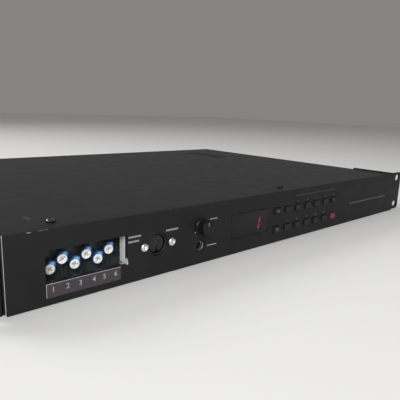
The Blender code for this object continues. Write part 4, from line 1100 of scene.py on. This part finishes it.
def make_jack(node, name, mouth, inward):
    """A jack's body with a bright sleeve in its bore."""
    dress_copy(node, f"{name}_body", FINE_EDGE, "black_plastic", "black_moulding")
    centre = middle(node)
    origin = (centre.x, mouth, centre.z)
    turned_metal(f"{name}_sleeve", (0, inward, 0), origin, SLEEVE_PROFILE, "sleeve")


def make_nut(name, centre, seat):
    """A hexagon nut and its washer on a rear jack's bushing."""
    origin = Vector((centre.x, seat, centre.z))
    turned_metal(f"{name}_washer", REARWARD, origin, WASHER_PROFILE, "dull_nickel")
    nut = drum(name, REARWARD, origin + NUT_START * Vector(REARWARD), NUT_HEIGHT, NUT_RADIUS, 6)
    combine(nut, [drum("tool", REARWARD, origin, 2 * NUT_HEIGHT, NUT_BORE)])
    ease(nut, SOFT_EDGE, 3)
    dress(nut, "steel", "nickel")


def make_sockets():
    mouth, seat = FRONT + INPUT_RECESS, WALL_BACK + GAP
    make_round_socket("input_socket", mouth, 1, seat, INPUT_PINS, INPUT_SPREAD, "contact")
    seat = REAR_FACE - SHEET - GAP
    for number in (1, 2):
        node = f"data_socket_{number}"
        make_round_socket(node, REAR_FACE, -1, seat, DATA_PINS, DATA_SPREAD, "dull_nickel")
    make_jack("phones_jack", "phones", FRONT + PHONES_RECESS, 1)
    for number in (1, 2):
        node = f"output_jack_{number}"
        make_jack(node, f"output_{number}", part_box(node)[1].y, -1)
        make_nut(f"output_{number}_nut", middle(node), REAR_FACE)


# Volume knob and push buttons


def knob_profile(front, back, radius):
    """Radius and place along Y: dished face, rim, barrel, skirt and the shaft's bore."""
    face = [(radius + past, front + depth) for past, depth in KNOB_FACE]
    skirt = [(radius + past, back + depth) for past, depth in KNOB_SKIRT]
    bore = [(KNOB_BORE, skirt[-1][1]), (KNOB_BORE, front + KNOB_CAP), (0.0, front + KNOB_CAP)]
    return [(0.0, face[0][1]), *face, *skirt, *bore]


def press_flutes(knob, centre, barrel):
    """Draws every second line of points on the barrel inwards."""
    start_edit(knob, "VERT")
    mesh = bmesh.from_edit_mesh(knob.data)
    for vert in mesh.verts:
        across, up = vert.co.x - centre.x, vert.co.z - centre.z
        valley = round(math.atan2(up, across) / (math.pi / KNOB_FLUTES)) % 2 == 0
        vert.select_set(valley and abs(math.hypot(across, up) - barrel) < SAME)
    mesh.select_flush_mode()
    bmesh.update_edit_mesh(knob.data)
    bpy.ops.transform.resize(value=(KNOB_FLUTE_SCALE, 1.0, KNOB_FLUTE_SCALE), center_override=centre)
    end_edit()


def make_knob():
    low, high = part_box("volume_knob")
    centre = (low + high) / 2
    radius = (high.x - low.x) / 2
    profile = knob_profile(low.y, high.y, radius)
    knob = turn("knob", REARWARD, (centre.x, 0, centre.z), profile, 2 * KNOB_FLUTES)
    press_flutes(knob, centre, radius + KNOB_BARREL)
    make_active(knob)
    bpy.ops.object.shade_smooth_by_angle(angle=KNOB_SHARP_ANGLE)
    dress(knob, "black_plastic", "knob_moulding", body="volume", nodes=["volume_knob"])
    half = POINTER_WIDTH / 2
    near, far = [low.y + depth for depth in POINTER_DEPTHS]
    bottom, top = centre.z + POINTER_ENDS[0], centre.z + radius + POINTER_ENDS[1]
    pointer = block("knob_pointer", (centre.x - half, near, bottom), (centre.x + half, far, top))
    ease(pointer, POINTER_EDGE)
    dress(pointer, "print", "grey_print", body="volume")


def button_pattern():
    """A cap with a dished face, its rim behind the wall and its stem, in the first button's place."""
    low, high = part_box(BUTTONS[0])
    centre = (low + high) / 2
    rim_front = WALL_BACK + GAP
    rim_back = rim_front + BUTTON_RIM
    reach = Vector((BUTTON_SIZE[0] / 2, 0, BUTTON_SIZE[1] / 2))
    near, far = centre - reach, centre + reach
    near.y, far.y = low.y, rim_front + SAME
    cap = rounded_bar("button_pattern", near, far, "y", BUTTON_CORNER, 4)
    bevel_edges(cap, lambda edge: max(vert.co.y for vert in edge.verts) < low.y + SAME, BUTTON_EDGE, 3)
    select(cap, "FACE", lambda face: face.normal.y < -BUTTON_FACING)
    bpy.ops.mesh.inset(thickness=BUTTON_STEP)
    bpy.ops.mesh.inset(thickness=BUTTON_STEP, depth=-BUTTON_DISH)
    end_edit()
    combine(cap, [block("tool", (low.x, rim_front, low.z), (high.x, rim_back, high.z))], "UNION")
    inset = Vector((BUTTON_STEM_INSET, 0, BUTTON_STEM_INSET))
    stem_low, stem_high = low + inset, high - inset
    stem_low.y = rim_back - SAME
    combine(cap, [block("tool", stem_low, stem_high)], "UNION")
    smooth(cap)
    return cap, centre


def make_buttons():
    pattern, first = button_pattern()
    for node in BUTTONS:
        button = placed_copy(pattern, f"{node}_face", Matrix.Translation(middle(node) - first))
        colour = "red" if node == "red_button" else "black"
        dress(button, f"{colour}_plastic", f"{colour}_moulding", body=f"{node}_cap", nodes=[node])
    bpy.data.objects.remove(pattern)


# Display


def segment(name, start, end, front):
    """One segment: a bar with cut corners between two points on the module's face."""
    start, end = Vector(start), Vector(end)
    length = (end - start).length - 2 * SEGMENT_GAP
    half = SEGMENT_WIDTH / 2
    bar = block(name, (-length / 2, 0, -half), (length / 2, SEGMENT_THICKNESS, half))
    bevel_edges(bar, edges_along("y"), SEGMENT_WIDTH * SEGMENT_CUT, 1)
    centre = (start + end) / 2
    angle = math.atan2(end.y - start.y, end.x - start.x)
    place = Matrix.Translation((centre.x, front - SEGMENT_THICKNESS, centre.y))
    bar.data.transform(place @ Matrix.Rotation(-angle, 4, "Y"))
    return bar


def figure(x, z, front, lit):
    """Segments of one figure, as two lists: lit ones and unlit ones."""
    wide, tall = FIGURE_WIDTH / 2, FIGURE_HEIGHT / 2
    lean = math.tan(FIGURE_SLANT)
    corners = {}
    for name, (side, level) in FIGURE_CORNERS.items():
        corners[name] = (x + side * wide + level * tall * lean, z + level * tall)
    on, off = [], []
    for ends in FIGURE_SEGMENTS:
        bar = segment("segment", corners[ends[0]], corners[ends[1]], front)
        (on if ends in lit else off).append(bar)
    return on, off


def make_display():
    """A row of figures, of which the last one shows a one."""
    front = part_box("display_module")[0].y
    on, off = [], []
    for place in reversed(range(FIGURE_COUNT)):
        lit = () if place else FIGURE_ONE
        shining, dark = figure(FIGURE_LAST_X - FIGURE_PITCH * place, FIGURE_Z, front, lit)
        on += shining
        off += dark
    dress(join(on, "lit_figure"), "lit_red", "lit_red")
    dress(join(off, "unlit_figures"), "black_plastic", "unlit_segment")


# Print


def printed_number(number, x, z, height, face):
    """A plain number as a thin mesh that faces the front."""
    bpy.ops.object.text_add(location=(0, 0, 0))
    text = bpy.context.active_object.data
    text.body = str(number)
    text.align_x = "CENTER"
    text.align_y = "CENTER"
    text.size = height * TYPE_SCALE
    text.extrude = PRINT_THICKNESS / 2
    bpy.ops.object.convert(target="MESH")
    piece = bpy.context.active_object
    piece.rotation_euler = (math.pi / 2, 0, 0)
    piece.location = (x, face - PRINT_THICKNESS / 2 + PRINT_SINK, z)
    settle(piece)
    return piece


def printed_bars(bars):
    front, back = FRONT - PRINT_THICKNESS, FRONT + PRINT_SINK
    return [block("mark", (x[0], front, z[0]), (x[1], back, z[1])) for x, z in bars]


def printed_triangle(x, z, size, up, face):
    """A printed arrow head that points up or down."""
    mark = drum("mark", REARWARD, (x, face - PRINT_THICKNESS, z), PRINT_THICKNESS + PRINT_SINK, size, 3)
    tips = [vert.co.z - z for vert in mark.data.vertices]
    points_up = max(tips) > -min(tips)
    if points_up != up:
        mark.data.transform(Matrix.Translation((0, 0, 2 * z)) @ Matrix.Diagonal((1, 1, -1, 1)))
        mark.data.flip_normals()
    return mark


def make_label():
    """A recessed strip with a painted highlight on its left and top edges, and the six strings' numbers."""
    front = FRONT - LABEL_THICKNESS
    label = block("label_strip", (LABEL_X[0], front, LABEL_Z[0]), (LABEL_X[1], FRONT, LABEL_Z[1]))
    select(label, "FACE", lambda face: face.normal.y < -FACING)
    bpy.ops.mesh.inset(thickness=LABEL_BORDER, depth=-LABEL_RECESS)
    end_edit()
    smooth(label)
    dress(label, "label", "label_film", "label_edge")
    left, top = LABEL_X[0] + LABEL_BORDER, LABEL_Z[1] - LABEL_BORDER
    # The left and top border faces take the painted highlight.
    paint_faces(label, 1, lambda centre, normal: centre.x < left or centre.z > top)
    numbers = []
    for number, x in enumerate(STRING_NUMBERS, 1):
        place = (x, STRING_NUMBER_Z, STRING_NUMBER_HEIGHT, front + LABEL_RECESS)
        numbers.append(printed_number(number, *place))
    dress(join(numbers, "string_numbers"), "print", "label_print")


def volume_ticks():
    """Two arrow heads at the ends of the knob's turn."""
    centre = middle("volume_knob")
    z = centre.z - TICK_DROP
    return [printed_triangle(centre.x + side * TICK_ASIDE, z, TICK_SIZE, False, FRONT) for side in (-1, 1)]


def button_numbers():
    """Plain numbers at the buttons, the upper row first."""
    marks = []
    for number, node in enumerate(ROW_BUTTONS, 1):
        place = middle(node)
        marks.append(printed_number(number, place.x, place.z + NUMBER_RISE, NUMBER_HEIGHT, FRONT))
    return marks


def make_key_arrows():
    for node, up in (("up_key", True), ("down_key", False)):
        place = middle(node)
        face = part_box(node)[0].y + BUTTON_DISH
        arrow = printed_triangle(place.x, place.z, ARROW_SIZE, up, face)
        arrow.name = f"{node}_arrow"
        dress(arrow, "print", "grey_print", body=f"{node}_cap")


def make_print():
    make_key_arrows()
    dress(join(printed_bars(CONTROL_BARS) + volume_ticks(), "control_print"), "print", "panel_print")
    dress(join(button_numbers(), "button_print"), "print", "grey_print")
    dress(join(printed_bars(RULES), "panel_rules"), "print", "faint_print")


# Mains inlet


def make_inlet():
    node = "mains_inlet"
    inlet = dress_copy(node, "inlet_moulding", FINE_EDGE, "black_plastic", "black_moulding", "blade")
    centre = middle(node)
    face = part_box(node)[1].y

    def on_blade(place, normal):
        aside, up = place.x - centre.x - MAINS_OFFSET, place.z - centre.z
        within = abs(aside) < MAINS_REACH[0] and abs(up) < MAINS_REACH[1]
        return within and BLADE_DEPTHS[0] < face - place.y < BLADE_DEPTHS[1]

    paint_faces(inlet, 1, on_blade)
    dress_copy("power_rocker", "rocker_cap", SOFT_EDGE, "black_plastic", "gloss_moulding", body="rocker")


# Inside


def finish_kept_solids():
    for node, finish in KEPT_SOLIDS.items():
        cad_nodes[node].data.materials.clear()
        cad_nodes[node].data.materials.append(looks[finish])


# Stage


def make_camera():
    look = Vector(CAMERA_LOOK).normalized()
    right = look.cross(Vector(CAMERA_UP)).normalized()
    up = right.cross(look)
    data = bpy.data.cameras.new("camera")
    data.sensor_width = CAMERA_SENSOR
    data.lens = CAMERA_LENS
    data.clip_start = CAMERA_CLIP
    camera = link_object("camera", data)
    turn_matrix = Matrix((right, up, -look)).transposed().to_4x4()
    camera.matrix_world = Matrix.Translation(CAMERA_PLACE) @ turn_matrix
    bpy.context.scene.camera = camera


def add_lamp(name, place, aim, size, spread, power):
    data = bpy.data.lights.new(name, "AREA")
    data.shape = "DISK"
    data.size = size
    data.spread = math.radians(spread)
    data.energy = power
    lamp = link_object(name, data)
    turn_to = (Vector(aim) - Vector(place)).to_track_quat("-Z", "Y").to_matrix().to_4x4()
    lamp.matrix_world = Matrix.Translation(place) @ turn_to


def make_world():
    world = bpy.data.worlds.new("studio")
    world.use_nodes = True
    world.node_tree.nodes["Background"].inputs["Color"].default_value = (*BACKDROP, 1.0)
    bpy.context.scene.world = world


def make_floor():
    bpy.ops.mesh.primitive_plane_add(size=FLOOR_SIZE, location=(0, 0, -FLOOR_DROP))
    floor = bpy.context.active_object
    floor.name = "floor"
    finish = Finish("floor_white", FLOOR_COLOUR, 0.9, shine=0.1)
    floor.data.materials.append(finish.material)


def make_stage():
    bpy.context.scene.view_settings.view_transform = "Standard"
    make_camera()
    make_world()
    make_floor()
    for name, settings in LAMPS.items():
        add_lamp(name, *settings)


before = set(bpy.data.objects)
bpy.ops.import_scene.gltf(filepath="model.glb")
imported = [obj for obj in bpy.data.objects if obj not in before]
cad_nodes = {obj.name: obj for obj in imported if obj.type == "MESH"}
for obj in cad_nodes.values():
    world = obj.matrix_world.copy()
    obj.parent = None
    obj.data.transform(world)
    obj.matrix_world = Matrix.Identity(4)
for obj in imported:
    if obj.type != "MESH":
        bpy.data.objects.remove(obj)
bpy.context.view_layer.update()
panel_low, panel_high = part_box("front_panel")
FRONT = panel_low.y
GAP = panel_low.z  # the panel clears the ground by the gap between pieces
PANEL_MIDDLE = panel_high.z / 2
WALL_BACK = panel_high.y + GAP + SHEET
REAR_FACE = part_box("rear_panel")[1].y

make_stage()
looks = make_looks()
make_front_panel()
make_cover()
make_ear("left", -1)
make_ear("right", 1)
make_case_sheets()
make_screws()
for trimmer in TRIMMERS:
    make_trimmer(trimmer)
make_sockets()
make_knob()
make_buttons()
make_display()
make_label()
make_print()
make_inlet()
finish_kept_solids()
